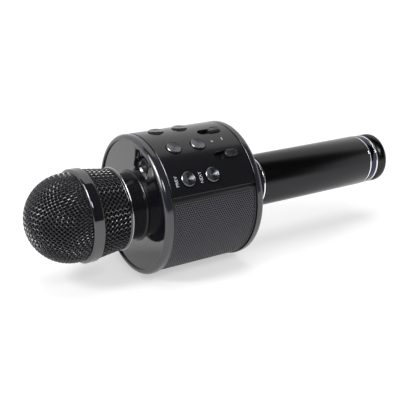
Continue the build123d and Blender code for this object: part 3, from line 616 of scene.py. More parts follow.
# ---------------------------------------------------------------- grille head
@dataclass
class GrilleHead:
    """The wire head: a woven dome, a gloss band, a woven skirt, a base ring and the foam inside."""

    pitch: float = 2.0
    wire: float = 0.28
    lift: float = 0.33
    samples: int = 5
    tuck: float = 1.5
    band_crown: float = 1.5
    band_wall: float = 1.0
    bead: float = 0.35
    skirt_inset: float = 0.6
    ring_wall: float = 4.6
    ring_overlap: float = 0.2
    ring_rear_edge: float = 0.1
    ring_front_edge: float = 0.3
    foam_thickness: float = 3.0
    foam_clearance: float = 0.25
    foam_step: float = 0.2
    foam_end_gap: float = 0.3
    foam_rear_inset: float = 2.2
    foam_rear_thickness: float = 1.2

    def __post_init__(self) -> None:
        """Read the head's places from the frame."""
        self.dome_radius = node_radius("grille_dome")
        self.centre_x = node_span("grille_dome")[0] + self.dome_radius
        self.band_front, self.band_rear = node_span("grille_band")
        self.band_radius = node_radius("grille_band")
        self.skirt_rear = node_span("grille_skirt")[1]
        self.skirt_front_radius = node_radius("grille_skirt")
        self.ring_radius = node_radius("grille_base_ring")
        self.ring_rear = node_span("grille_base_ring")[1]

    def build(self) -> None:
        """Make every piece of the head."""
        self.dome()
        self.band()
        self.skirt()
        self.base_ring()
        self.foam()

    def dome(self) -> None:
        """Woven dome.

        A flat square weave is laid on the dome from its tip outwards: a point's distance from the
        middle of the cloth is its distance along the dome from the tip. Each wire rises and falls
        by a cosine, so that it passes over one crossing wire and under the next.
        """
        radius = self.dome_radius - self.wire - self.lift
        quarter = radius * math.pi / 2
        reach = quarter + self.band_front - self.centre_x + self.tuck
        count = int(reach / self.pitch)
        paths, normals = [], []
        for family in (0, 1):
            for index in range(-count, count + 1):
                fixed = index * self.pitch
                half = math.sqrt(max(reach**2 - fixed**2, 0))
                steps = max(int(2 * half / self.pitch * self.samples), 4)
                along = np.linspace(-half, half, steps)
                other = np.full_like(along, fixed)
                first, second = (other, along) if family == 0 else (along, other)
                u, v = (first - second) * math.sqrt(0.5), (first + second) * math.sqrt(0.5)
                sign = 1 if family == 0 else -1
                height = sign * self.lift * np.cos(math.pi * (along / self.pitch + index))
                path, normal = self._on_dome(u, v, height, radius, quarter)
                paths.append(path)
                normals.append(normal)
        piece = wire_tubes("grille_dome_wires", paths, normals, self.wire)
        settle(piece, WIRE_BLACK, "woven_wire", HEAD_BODY, "grille_dome")

    def _on_dome(self, u: np.ndarray, v: np.ndarray, height: np.ndarray, radius: float,
                 quarter: float) -> tuple[np.ndarray, np.ndarray]:
        """Lay points of the flat weave on the dome and its straight edge.

        Args:
            u: first place on the flat weave.
            v: second place on the flat weave.
            height: lift off the surface.
            radius: the dome's middle radius.
            quarter: distance along the dome from tip to edge.

        Returns:
            The points and the surface normals there.
        """
        reach = np.hypot(u, v)
        bearing = np.arctan2(v, u)
        polar = np.minimum(reach / radius, math.pi / 2)
        beyond = np.maximum(reach - quarter, 0)
        aside = np.sin(polar)
        normal = np.stack([-np.cos(polar), aside * np.cos(bearing), aside * np.sin(bearing)], axis=-1)
        middle = np.array([self.centre_x, 0.0, AXIS_HEIGHT])
        points = middle + normal * (radius + height)[:, None]
        points[:, 0] += beyond
        return points, normal

    def skirt(self) -> None:
        """Woven skirt: two families of wires that wind round a cone at 45 degrees, one each way.

        A wire's angle grows evenly with its distance along the cone, and it rises and falls by a
        cosine, so that it passes over one crossing wire and under the next.
        """
        front_radius = self.skirt_front_radius - self.wire - self.lift
        rear_radius = self.ring_radius - self.skirt_inset - self.wire - self.lift
        length = self.skirt_rear - self.band_rear
        slope = (rear_radius - front_radius) / length
        count = 2 * round(math.pi * front_radius / (self.pitch * math.sqrt(2)))
        step = 2 * math.pi / count
        sweep = length / front_radius
        samples = int(2 * sweep / step * self.samples)
        turn = np.linspace(0, sweep, samples)
        families = ((1, "grille_skirt_wires", ("grille_skirt",)), (-1, "grille_skirt_cross_wires", ()))
        for way, name, nodes in families:
            paths, normals = [], []
            height = way * self.lift * np.cos(2 * math.pi * turn / step)
            for index in range(count):
                angle = index * step + way * turn
                path, normal = self._on_skirt(turn / sweep, angle, height, front_radius, slope)
                paths.append(path)
                normals.append(normal)
            piece = wire_tubes(name, paths, normals, self.wire)
            settle(piece, WIRE_BLACK, "woven_wire", HEAD_BODY, *nodes)

    def _on_skirt(self, share: np.ndarray, angle: np.ndarray, height: np.ndarray, front_radius: float,
                  slope: float) -> tuple[np.ndarray, np.ndarray]:
        """Points on the skirt's cone.

        Args:
            share: how far from the band to the base ring, 0 to 1.
            angle: angle round the axis.
            height: lift off the cone.
            front_radius: the cone's radius at the band.
            slope: change of radius with distance along the axis.

        Returns:
            The points and the surface normals there.
        """
        x = self.band_rear + share * (self.skirt_rear - self.band_rear)
        points = around(x, front_radius + slope * (x - self.band_rear) + height, angle)
        normal = around(np.full_like(angle, -slope), np.ones_like(angle), angle)
        normal[:, 2] -= AXIS_HEIGHT
        return points, normal / np.linalg.norm(normal, axis=1, keepdims=True)

    def band(self) -> None:
        """Gloss band round the head: its outer face is crowned, falling steeply at its edges."""
        inner = self.dome_radius - self.band_wall
        share = np.linspace(-1, 1, 25)
        x = (self.band_front + self.band_rear) / 2 + share * (self.band_rear - self.band_front) / 2
        face = np.stack([x, self.band_radius - self.band_crown * share**10], axis=-1)
        foot = np.array([[self.band_rear, inner], [self.band_front, inner]])
        piece = turned("grille_band_gloss", np.concatenate([face, foot]))
        settle(piece, BLACK_CHROME, "gloss_black", HEAD_BODY, "grille_band")

    def base_ring(self) -> None:
        """Dark base ring with a bright bead on its rear edge."""
        front = self.skirt_rear - self.ring_overlap
        inner = self.ring_radius - self.ring_wall
        outer = self.ring_radius - self.bead
        outline = rounded_outline([
            (front, inner, 0),
            (self.ring_rear, inner, 0),
            (self.ring_rear, outer, self.ring_rear_edge),
            (front, outer, self.ring_front_edge),
        ])
        piece = turned("base_ring_body", outline)
        settle(piece, BLACK_CHROME, "base_ring", HEAD_BODY, "grille_base_ring")
        turn = np.linspace(0, 2 * math.pi, 12, endpoint=False)
        bead = np.stack([
            self.ring_rear - self.bead + self.bead * np.cos(turn),
            outer + self.bead * np.sin(turn),
        ], axis=-1)
        settle(turned("base_ring_bead", bead), RING_EDGE, "bright", HEAD_BODY)

    def foam(self) -> None:
        """Foam liner behind the wires: a dome and a cone of even thickness, turned as one outline."""
        outer = self.dome_radius - 2.0 * (self.wire + self.lift) - self.foam_clearance
        thickness = self.foam_thickness
        polar = np.linspace(0.02, math.pi / 2, 40)
        dome = np.stack([self.centre_x - outer * np.cos(polar), outer * np.sin(polar)], axis=-1)
        rear_x = self.skirt_rear - self.foam_end_gap
        rear = self.ring_radius - self.foam_rear_inset
        lining = np.array([
            [self.band_rear, outer - self.foam_step],
            [rear_x, rear],
            [rear_x, rear - self.foam_rear_thickness],
            [self.band_rear, outer - thickness],
        ])
        inside = np.stack([self.centre_x - (outer - thickness) * np.cos(polar[::-1]),
                           (outer - thickness) * np.sin(polar[::-1])], axis=-1)
        piece = turned("foam_liner", np.concatenate([dome, lining, inside]), segments=128)
        settle(piece, FOAM_BLACK, "foam", HEAD_BODY, "windscreen_foam")


# ---------------------------------------------------------------- barrel
@dataclass
class Barrel:
    """The speaker barrel: neck, dish, rims, speaker mesh with its dust cloth, and the rear cap."""

    rim_thickness: float = 2.8
    rim_rounding: float = 2.3
    rim_inner_rounding: float = 0.45
    rim_panel_edge: float = 0.3
    neck_step: float = 5.2
    neck_fillet: float = 1.6
    neck_wall: float = 4.8
    foot_depth: float = 0.6
    spigot_step: float = 0.8
    spigot_gap: float = 0.2
    hole_pitch: float = 1.36
    hole_corner: float = 0.5886
    hole_depth: float = 0.45
    sheet_drop: float = 0.02
    border: float = 0.3
    sheet: float = 0.8
    mesh_parts: int = 2
    panel_gap: float = math.radians(3.0)
    cloth_depth: float = 1.3
    cloth_margin: float = 0.6
    cloth_share: float = 0.985

    def __post_init__(self) -> None:
        """Read the barrel's places from the frame."""
        self.radius = node_radius("front_rim")
        self.front_rim = node_span("front_rim")
        self.rear_rim = node_span("rear_rim")[::-1]
        self.neck_front, self.neck_rear = node_span("neck")
        self.neck_flange = node_radius("neck")
        self.dish_x = node_span("front_dish")[0]
        self.mesh_front, self.mesh_rear = node_span("speaker_mesh")
        self.mesh_radius = AXIS_HEIGHT - node_box("speaker_mesh")[0][2]
        self.panel_middle, panel_half = panel_angles()
        self.mesh_half = math.pi - panel_half - self.panel_gap

    def build(self) -> None:
        """Make every piece of the barrel."""
        self.rims()
        self.neck()
        self.perforated_mesh()
        self.dust_cloth_shade()
        copies = {"front_dish": BLACK_CHROME, "rear_cap": BLACK_CHROME, "chassis": PLASTIC_BLACK,
                  "jack_socket": JACK_BLACK, "charge_socket": STEEL}
        for node, finish in copies.items():
            dress(smooth_copy(node), finish)

    def rims(self) -> None:
        """The two bullnose rims."""
        inner = self.radius - self.rim_thickness
        for name, (outer_x, inner_x) in (("front_rim", self.front_rim), ("rear_rim", self.rear_rim)):
            outline = rounded_outline([
                (outer_x, inner, self.rim_inner_rounding),
                (inner_x, inner, 0),
                (inner_x, self.radius, self.rim_panel_edge),
                (outer_x, self.radius, self.rim_rounding),
            ], steps=12)
            settle(turned(f"{name}_ring", outline, segments=256), RIM_CHROME, "rim", MAIN_BODY, name)

    def neck(self) -> None:
        """The neck with a small fillet at its foot, and the flat ring between the fillet and the dish."""
        radius = self.neck_flange - self.neck_step
        foot_radius = radius + self.neck_fillet
        foot_rear = self.dish_x + self.foot_depth
        bore = radius - self.neck_wall
        spigot = radius - self.spigot_step
        spigot_rear = node_span("grille_base_ring")[1] + self.spigot_gap
        angles = np.linspace(-math.pi / 2, 0, 12)
        fillet = np.stack([
            self.dish_x - self.neck_fillet + self.neck_fillet * np.cos(angles),
            foot_radius + self.neck_fillet * np.sin(angles),
        ], axis=-1)
        body = np.array([
            [foot_rear, foot_radius],
            [foot_rear, self.neck_flange],
            [self.neck_rear, self.neck_flange],
            [self.neck_rear, bore],
            [self.neck_front, bore],
            [self.neck_front, spigot],
            [spigot_rear, spigot],
            [spigot_rear, radius],
        ])
        piece = turned("neck_tube", np.concatenate([fillet, body]))
        settle(piece, NECK_BLACK, "gloss_black", MAIN_BODY, "neck")
        ring = np.array([
            [self.dish_x, foot_radius],
            [self.dish_x, self.neck_flange],
            [foot_rear, self.neck_flange],
            [foot_rear, foot_radius],
        ])
        settle(turned("neck_foot_ring", ring), BLACK_CHROME, "gloss_black", MAIN_BODY)

    def perforated_mesh(self) -> None:
        """Perforated sheet round the barrel.

        Six-sided cells in staggered rows cover the sheet. Each holds a six-sided hole with a short
        wall, and the cells' corners are shared. A plain border strip runs round each part.
        """
        arc = 2 * self.mesh_half * self.mesh_radius
        start = self.panel_middle + math.pi - self.mesh_half
        part_arc = arc / self.mesh_parts
        for part in range(self.mesh_parts):
            first = part * part_arc
            points, faces = self._cells(first, first + part_arc, part)
            x, away, depth = points[:, 0], points[:, 1], points[:, 2]
            placed = around(x, self.mesh_radius - self.sheet_drop - depth, start + away / self.mesh_radius)
            piece = mesh_object(f"speaker_mesh_part_{part + 1}", placed, faces)
            nodes = ("speaker_mesh",) if part == 0 else ()
            settle(piece, MESH_BLACK, "speaker_mesh", MAIN_BODY, *nodes)
        self._border(start, arc)

    def _cells(self, low: float, high: float, part: int) -> tuple[np.ndarray, np.ndarray]:
        """Cells of one part of the flat sheet.

        Args:
            low: where the part starts round the barrel, in millimetres of arc.
            high: where it ends.
            part: its number, which keeps its rows in step with the part before.

        Returns:
            Points as station, arc and depth, and the faces.
        """
        row_pitch = self.hole_pitch * math.sqrt(3) / 2
        first_row = math.ceil((low + (self.border if part == 0 else 0)) / row_pitch)
        last_row = math.floor((high - (self.border if part == self.mesh_parts - 1 else 0)) / row_pitch)
        columns = np.arange(int((self.mesh_rear - self.mesh_front - 2 * self.border) / self.hole_pitch))
        row, column = np.meshgrid(np.arange(first_row, last_row), columns, indexing="ij")
        centre_x = self.mesh_front + self.border + self.hole_pitch * (column + 0.5 * (row % 2) + 0.25)
        centre_away = row * row_pitch
        centre = np.stack([centre_x.ravel(), centre_away.ravel()], axis=-1)
        corner = np.radians(30 + 60 * np.arange(6))
        spokes = np.stack([np.cos(corner), np.sin(corner)], axis=-1)
        rim = centre[:, None] + spokes * self.hole_pitch / math.sqrt(3)
        hole = centre[:, None] + spokes * self.hole_corner
        flat = np.zeros(rim.shape[:2] + (1,))
        rings = np.stack([
            np.concatenate([rim, flat], axis=-1),
            np.concatenate([hole, flat], axis=-1),
            np.concatenate([hole, flat + self.hole_depth], axis=-1),
        ], axis=1)
        points = rings.reshape(-1, 3)
        side = np.arange(6)
        after = (side + 1) % 6
        one = np.concatenate([
            np.stack([side, after, 6 + after, 6 + side], axis=-1),
            np.stack([6 + side, 6 + after, 12 + after, 12 + side], axis=-1),
        ])
        faces = (one[None] + 18 * np.arange(len(centre))[:, None, None]).reshape(-1, 4)
        _, first, back = np.unique(np.round(points * 1000).astype(np.int64), axis=0, return_index=True,
                                   return_inverse=True)
        return points[first], back.reshape(-1)[faces]

    def _border(self, start: float, arc: float) -> None:
        """Plain border of the sheet: four strips, each bent round the barrel, coloured far darker than the
        mesh as painted shade for the dark gap under the panel's edge.

        Args:
            start: angle where the sheet starts.
            arc: the sheet's length round the barrel.
        """
        wide = self.border + self.hole_pitch / 2
        round_steps, side_steps = 160, 3
        strips = (
            (self.mesh_front, self.mesh_front + wide, 0, arc, round_steps),
            (self.mesh_rear - wide, self.mesh_rear, 0, arc, round_steps),
            (self.mesh_front, self.mesh_rear, 0, wide, side_steps),
            (self.mesh_front, self.mesh_rear, arc - wide, arc, side_steps),
        )
        points, faces = [], []
        for x0, x1, a0, a1, steps in strips:
            away = np.linspace(a0, a1, steps)[:, None]
            section_x = np.array([x0, x1, x1, x0])[None]
            section_r = self.mesh_radius - np.array([0, 0, self.sheet, self.sheet])[None]
            faces.append(grid_faces(steps, 4, False, True) + sum(len(p) for p in points))
            points.append(around(section_x, section_r, start + away / self.mesh_radius).reshape(-1, 3))
        piece = mesh_object("speaker_mesh_border", np.concatenate(points), np.concatenate(faces)[:, ::-1])
        # Painted shade: the border's dark colour stands for the shadow in the gap under the panel's edge.
        settle(piece, MESH_EDGE_SHADE, "speaker_mesh", MAIN_BODY)

    def dust_cloth_shade(self) -> None:
        """Thin cloth stretched round the chassis, behind the mesh, coloured near-black; part of that darkness
        is painted shade that makes the holes read dark.
        """
        radius = self.mesh_radius - self.cloth_depth
        half = self.mesh_half * self.cloth_share
        rows, columns = 140, 12
        angles = self.panel_middle + math.pi + np.linspace(-half, half, rows)
        x = np.linspace(self.mesh_front + self.cloth_margin, self.mesh_rear - self.cloth_margin, columns)
        points = around(x[None], radius, angles[:, None])
        piece = mesh_object("dust_cloth_shade", points, grid_faces(rows, columns))
        # Painted shade: the cloth's very dark colour stands for the shadow inside the holes.
        settle(piece, CLOTH_SHADE_BLACK, "foam", MAIN_BODY)


def panel_angles() -> tuple[float, float]:
    """The panel's mid-line angle and half-width, from its corners' box.

    Returns:
        The mid-line's angle and the half-width, in radians.
    """
    low, high = node_box("control_panel")
    radius = high[2] - AXIS_HEIGHT
    near = math.asin(min(1.0, -low[1] / radius))
    far = -math.asin(min(1.0, high[1] / radius))
    return (near + far) / 2, (near - far) / 2


# ---------------------------------------------------------------- control panel
@dataclass
class ControlPanel:
    """The gloss panel with its buttons, sliders and printed signs."""

    chamfer: float = 0.22
    clearance: float = 0.3
    slot_length: float = 14.8
    slot_width: float = 5.0
    slot_from_rear: float = 5.4
    slot_margin: float = 2.0
    band_steps: int = 12
    thickness: float = 2.4
    print_height: float = 1.7
    print_lift: float = 0.03
    print_thinning: float = -0.012
    button_radius: float = 4.1
    button_edge: float = 0.3
    button_hollow: float = 0.3
    button_flange: float = 0.7
    groove_pitch: float = 0.48
    groove_depth: float = 0.023
    knob_rounding: float = 0.7
    knob_dip: float = 0.25

    def __post_init__(self) -> None:
        """Read the panel's places from the frame."""
        self.front, self.rear = node_span("control_panel")
        self.radius = node_box("control_panel")[1][2] - AXIS_HEIGHT
        self.middle, self.half = panel_angles()
        self.rows = [self._angle_of(f"button_{row}1") for row in "abc"]
        stations = [node_points(f"button_a{column}")[:, 0] for column in "12"]
        self.columns = [(x.min() + x.max()) / 2 for x in stations]
        self.sliders = [self._angle_of(f"slider_knob_{side}") for side in "ab"]
        self.slot_x = self.rear - self.slot_from_rear - self.slot_length / 2

    @staticmethod
    def _angle_of(node: str) -> float:
        """Angle of a CAD node round the axis, halfway between its points' least and greatest angles.

        Args:
            node: the CAD node.

        Returns:
            The angle in radians.
        """
        points = node_points(node)
        angles = np.arctan2(-points[:, 1], points[:, 2] - AXIS_HEIGHT)
        return float((angles.min() + angles.max()) / 2)

    def build(self) -> None:
        """Make the panel and everything on it."""
        self.plate()
        for row, angle in zip("abc", self.rows):
            for column, x in zip("12", self.columns):
                self.button(f"button_{row}{column}", x, angle)
        for side in "ab":
            self.knob(f"slider_knob_{side}")
        self.signs()

    def _hole(self, direction: np.ndarray, half_length: float, radius: float) -> np.ndarray:
        """Point of a slot's or hole's edge in each direction from its centre.

        On the straight sides the ray meets the side's height. At the ends it meets the end circle,
        by the formula for a line and a circle. A round hole has no straight sides.

        Args:
            direction: directions, one row each.
            half_length: half the distance between the end circles' centres.
            radius: the end circles' radius.

        Returns:
            Edge points.
        """
        unit = direction / np.linalg.norm(direction, axis=1, keepdims=True)
        dx, dt = np.abs(unit[:, 0]), np.abs(unit[:, 1])
        to_side = radius / np.maximum(dt, 1e-9)
        to_end = dx * half_length + np.sqrt(np.maximum(radius**2 - (dt * half_length) ** 2, 0))
        reach = np.where(to_side * dx <= half_length, to_side, to_end)
        return unit * reach[:, None]

    def _surface(self, x: np.ndarray, angle: np.ndarray, drop: float) -> np.ndarray:
        """Points on the panel, a drop below its face."""
        return around(x, self.radius - drop, angle)

    def _cell(self, x_range: tuple[float, float], angles: np.ndarray, centre: tuple[float, float],
              half_length: float, radius: float) -> list[np.ndarray]:
        """Rings of a rectangular cell with a hole, from its edge to the hole's lower edge.

        Args:
            x_range: the cell's ends.
            angles: its sample angles.
            centre: the hole's station and angle.
            half_length: half the straight length of the hole.
            radius: the hole's radius.

        Returns:
            Rings of points, all of one length.
        """
        xs = np.linspace(*x_range, 16)
        across, along = len(xs) - 1, len(angles) - 1
        edge_x = np.concatenate([xs[:-1], np.full(along, xs[-1]), xs[:0:-1], np.full(along, xs[0])])
        edge_a = np.concatenate([np.full(across, angles[0]), angles[:-1],
                                 np.full(across, angles[-1]), angles[:0:-1]])
        offset = np.stack([edge_x - centre[0], self.radius * np.sin(edge_a - centre[1])], axis=-1)
        lip = self._hole(offset, half_length, radius + self.chamfer)
        wall = self._hole(offset, half_length, radius)
        rings = []
        for share in (1.0, 0.6, 0.3, 0.1, 0.0):
            mixed_x = centre[0] + lip[:, 0] + share * (offset[:, 0] - lip[:, 0])
            lip_angle = centre[1] + np.arcsin(lip[:, 1] / self.radius)
            rings.append(self._surface(mixed_x, lip_angle + share * (edge_a - lip_angle), 0))
        wall_angle = centre[1] + np.arcsin(wall[:, 1] / self.radius)
        for drop in (self.chamfer, self.thickness):
            rings.append(self._surface(centre[0] + wall[:, 0], wall_angle, drop))
        rings.append(self._surface(edge_x, edge_a, self.thickness))
        return rings

    def plate(self) -> None:
        """The panel's plate.

        It is cut into strips between rows of controls. A strip's holes each lie in a cell, and plain
        patches fill the rest. Strips and patches share their samples along the arc, so no gap shows.
        """
        edges = [self.rows[0], self.sliders[0], self.rows[1], self.sliders[1], self.rows[2]]
        inner_half = self.half - self.chamfer / self.radius
        breaks = [self.middle - inner_half]
        outer_step = (edges[1] - edges[0]) / 2
        breaks.append(edges[0] - outer_step)
        breaks += [(a + b) / 2 for a, b in zip(edges, edges[1:])]
        breaks += [edges[-1] + outer_step, self.middle + inner_half]
        front, rear = self.front + self.chamfer, self.rear - self.chamfer
        pitch = self.columns[1] - self.columns[0]
        points, faces = [], []

        def add(block: np.ndarray, quads: np.ndarray) -> None:
            """Add a block of points and its faces."""
            faces.append(quads + sum(len(p) for p in points))
            points.append(block.reshape(-1, 3))

        def patch(x0: float, x1: float, angles: np.ndarray) -> None:
            """Add a plain patch, face and underside."""
            xs = np.linspace(x0, x1, 3)
            add(self._surface(xs[None], angles[:, None], 0), grid_faces(len(angles), 3))
            add(self._surface(xs[None], angles[:, None], self.thickness), grid_faces(len(angles), 3)[:, ::-1])

        for strip, (low, high) in enumerate(zip(breaks, breaks[1:])):
            angles = np.linspace(low, high, self.band_steps + 1)
            if strip in (0, len(edges) + 1):
                patch(front, rear, angles)
                continue
            centre_angle = edges[strip - 1]
            if strip % 2:
                holes = [(x, x - pitch / 2, x + pitch / 2, 0.0, self.button_radius + self.clearance)
                         for x in self.columns]
            else:
                reach = self.slot_length / 2 + self.slot_margin
                holes = [(self.slot_x, self.slot_x - reach, self.slot_x + reach,
                          (self.slot_length - self.slot_width) / 2, self.slot_width / 2)]
            patch(front, holes[0][1], angles)
            for x, x0, x1, half_length, radius in holes:
                rings = self._cell((x0, x1), angles, (x, centre_angle), half_length, radius)
                add(np.stack(rings), grid_faces(len(rings), len(rings[0]), False, True))
            patch(holes[-1][2], rear, angles)
        strips = [np.linspace(low, high, self.band_steps + 1) for low, high in zip(breaks, breaks[1:])]
        every = np.unique(np.concatenate(strips))
        xs = np.linspace(front, rear, 6)
        edge_x = np.concatenate([np.full(len(every), front), xs[1:-1],
                                 np.full(len(every), rear), xs[-2:0:-1]])
        edge_a = np.concatenate([every, np.full(4, every[-1]), every[::-1], np.full(4, every[0])])
        tiny = 1e-6
        outer_x = np.where(edge_x <= front + tiny, self.front, edge_x)
        outer_x = np.where(edge_x >= rear - tiny, self.rear, outer_x)
        outer_a = self.middle + (edge_a - self.middle) * np.where(
            np.abs(np.abs(edge_a - self.middle) - inner_half) < tiny, self.half / inner_half, 1.0)
        rings = [
            self._surface(edge_x, edge_a, 0),
            self._surface(outer_x, outer_a, self.chamfer),
            self._surface(outer_x, outer_a, self.thickness),
            self._surface(edge_x, edge_a, self.thickness),
        ]
        add(np.stack(rings), grid_faces(4, len(edge_x), False, True))
        per_mm = 2000
        merged, back = np.unique(np.round(np.concatenate(points) * per_mm).astype(np.int64), axis=0,
                                 return_inverse=True)
        quads = back.reshape(-1)[np.concatenate(faces)]
        piece = mesh_object("control_panel_plate", merged / per_mm, quads)
        outward(piece)
        settle(piece, PANEL_BLACK, "panel_black", MAIN_BODY, "control_panel")

    def button(self, node: str, x: float, angle: float) -> None:
        """A spun button: a stem, a polished edge and a slightly hollow face with turned grooves.

        The face's height falls with the square of the distance from its edge to its middle, and a
        sine of the distance from the middle cuts the grooves.

        Args:
            node: the CAD node.
            x: its station.
            angle: its angle round the axis.
        """
        outwards, sideways = directions(angle)
        middle = np.array([x, 0, AXIS_HEIGHT])
        heights = (node_points(node) - [0, 0, AXIS_HEIGHT]) @ outwards
        bottom, top = heights.min(), heights.max()
        radius, edge, flange = self.button_radius, self.button_edge, self.button_flange
        pole, face_rings, turns = 0.05, 56, 72
        face_radius = np.linspace(radius - edge, pole, face_rings)
        hollow = top - self.button_hollow * (1 - (face_radius / face_radius[0]) ** 2)
        groove = 2 * math.pi * (face_radius - face_radius[0]) / self.groove_pitch
        hollow -= self.groove_depth * (1 - np.cos(groove))
        stem = [(bottom, pole), (bottom, radius + flange), (bottom + flange, radius + flange),
                (bottom + flange, radius), (top - edge, radius), (top, radius - edge)]
        profile = np.array(stem + list(zip(hollow[1:], face_radius[1:])))
        turn = np.linspace(0, 2 * math.pi, turns, endpoint=False)
        ring = np.cos(turn)[:, None, None] * ALONG + np.sin(turn)[:, None, None] * sideways
        block = middle + profile[None, :, 0, None] * outwards + profile[None, :, 1, None] * ring
        uv = np.stack(np.broadcast_arrays(turn[:, None] / (2 * math.pi), profile[None, :, 1] / 10), axis=-1)
        piece = mesh_object(f"{node}_cap", block, grid_faces(len(turn), len(profile), True, True), uv)
        outward(piece)
        settle(piece, SPUN_METAL, "button", node, node)
        piece.data.materials.append(BUTTON_SIDE.material())
        column = np.arange(len(piece.data.polygons)) % len(profile)
        side = (column < len(stem) - 2).astype(np.int32)
        piece.data.polygons.foreach_set("material_index", side)

    def knob(self, node: str) -> None:
        """A slider knob: a slot-shaped block with a rounded top and a shallow thumb dip.

        Rings of the block's outline shrink along a quarter circle as they rise to the top, and the
        top falls by the square of the cosine along the block.

        Args:
            node: the CAD node.
        """
        outwards, sideways = directions(self._angle_of(node))
        relative = node_points(node) - [0, 0, AXIS_HEIGHT]
        heights = relative @ outwards
        bottom, top = heights.min(), heights.max()
        crest_depth, pole = 0.6, 0.05
        crest = relative[heights > top - crest_depth]
        middle = np.array([(crest[:, 0].min() + crest[:, 0].max()) / 2, 0, AXIS_HEIGHT])
        half_length = (crest[:, 0].max() - crest[:, 0].min()) / 2
        half_width = np.abs(crest @ sideways).max()
        turn = np.linspace(0, 2 * math.pi, 64, endpoint=False)
        direction = np.stack([np.cos(turn), np.sin(turn)], axis=-1)
        rise = np.linspace(0, math.pi / 2, 7)
        rounding = self.knob_rounding
        flange, flange_low, flange_high = -1.0, bottom + 0.2, bottom + 1.0
        insets = [half_width - 2 * pole, flange, flange, 0.0,
                  *(rounding * (1 - np.cos(rise))), 1.2, 1.7, half_width - pole]
        levels = [flange_low, flange_low, flange_high, flange_high,
                  *(top - rounding + rounding * np.sin(rise)), top, top, top]
        rings = []
        for inset, level in zip(insets, levels):
            outline = self._hole(direction, half_length - half_width, half_width - inset)
            dip = self.knob_dip * np.cos(np.clip(outline[:, 0] / half_length, -1, 1) * math.pi / 2) ** 2
            height = level - dip * (level >= top - 1e-6)
            rings.append(middle + outline[:, :1] * ALONG + outline[:, 1:] * sideways
                         + height[:, None] * outwards)
        piece = mesh_object(f"{node}_block", np.stack(rings), grid_faces(len(rings), len(turn), True, True))
        outward(piece)
        settle(piece, KNOB_BLACK, "knob", node, node)

    def signs(self) -> None:
        """Printed words and signs, read towards the panel's far edge, tops towards the grille.

        Each has its station, its row's angle and the degrees past it, its length and its height.
        """
        words = (
            ("PREV", self.columns[0] - 7.3, self.rows[2], 0.2, 5.9, self.print_height),
            ("NEXT", self.columns[1] - 7.4, self.rows[2], 0.2, 6.1, self.print_height),
            ("+", self.slot_x - 3.8, self.rows[1], -0.6, 1.5, 1.5),
            ("-", self.slot_x + 3.3, self.rows[1], -1.6, 1.6, 0.4),
        )
        for index, (word, x, row, degrees, length, height) in enumerate(words):
            angle = row + math.radians(degrees)
            curve = bpy.data.curves.new(f"sign_{index}", "FONT")
            curve.body = word
            curve.offset = self.print_thinning
            curve.resolution_u = 4
            holder = add_object(f"sign_{index}", curve)
            bpy.context.view_layer.update()
            mesh = bpy.data.meshes.new_from_object(holder)
            bpy.data.objects.remove(holder)
            flat = np.empty(len(mesh.vertices) * 3, np.float32)
            mesh.vertices.foreach_get("co", flat)
            flat = flat.reshape(-1, 3)[:, :2]
            low, high = flat.min(axis=0), flat.max(axis=0)
            flat = ((flat - (low + high) / 2) / (high - low)) * np.array([length, height])
            placed = around(x - flat[:, 1], self.radius + self.print_lift, angle - flat[:, 0] / self.radius)
            mesh.vertices.foreach_set("co", (placed * MM).astype(np.float32).ravel())
            mesh.update()
            piece = add_object(f"printed_sign_{index + 1}", mesh)
            settle(piece, PRINT_WHITE, "panel_black", MAIN_BODY)


def outward(piece: bpy.types.Object) -> None:
    """Turn a closed piece's faces outwards.

    Args:
        piece: the object.
    """
    work = bmesh.new()
    work.from_mesh(piece.data)
    bmesh.ops.recalc_face_normals(work, faces=work.faces)
    work.to_mesh(piece.data)
    work.free()
    piece.data.set_sharp_from_angle(angle=SHARP_EDGE)


# ---------------------------------------------------------------- handle
@dataclass
class Handle:
    """The satin handle with its bright rings, gloss band and end cap."""

    edge: float = 0.25
    ring_edge: float = 0.4
    wall: float = 1.7
    spring_turns: int = 6
    spring_wire: float = 0.45
    spring_narrowing: float = 2.5
    spring_steps: int = 36

    def build(self) -> None:
        """Make every piece of the handle."""
        parts = (
            ("handle_tube", HANDLE_SATIN, "handle", self.edge),
            ("handle_front_ring", BRIGHT_CUT, "bright", self.ring_edge),
            ("tail_ring_inner", BRIGHT_CUT, "bright", self.ring_edge),
            ("tail_band", BAND_GLOSS, "tail_band", self.edge),
            ("tail_ring_outer", BRIGHT_CUT, "bright", self.ring_edge),
        )
        for node, finish, slot, rounding in parts:
            front, rear = node_span(node)
            radius = node_radius(node)
            outline = rounded_outline([
                (front, radius - self.wall, 0),
                (rear, radius - self.wall, 0),
                (rear, radius, rounding),
                (front, radius, rounding),
            ], steps=4)
            settle(turned(f"{node}_surface", outline, segments=128), finish, slot, MAIN_BODY, node)
        self.battery_spring()
        dress(smooth_copy("end_cap"), HANDLE_SATIN)

    def battery_spring(self) -> None:
        """Spring that presses on the battery: a wire wound on a cone.

        The angle grows evenly with the distance along the axis, and the winding's radius grows evenly
        from the battery's end to the cap's.
        """
        front, rear = node_span("battery_spring")
        share = np.linspace(0, 1, self.spring_turns * self.spring_steps)
        x = front + self.spring_wire + share * (rear - front - 2 * self.spring_wire)
        wide = node_radius("battery_spring") - self.spring_wire
        angle = 2 * math.pi * self.spring_turns * share
        path = around(x, wide - self.spring_narrowing * (1 - share), angle)
        normal = around(np.zeros_like(x), np.ones_like(x), angle)
        normal[:, 2] -= AXIS_HEIGHT
        piece = wire_tubes("battery_spring_wire", [path], [normal], self.spring_wire, sides=8)
        settle(piece, STEEL, "steel", "end_cap", "battery_spring")


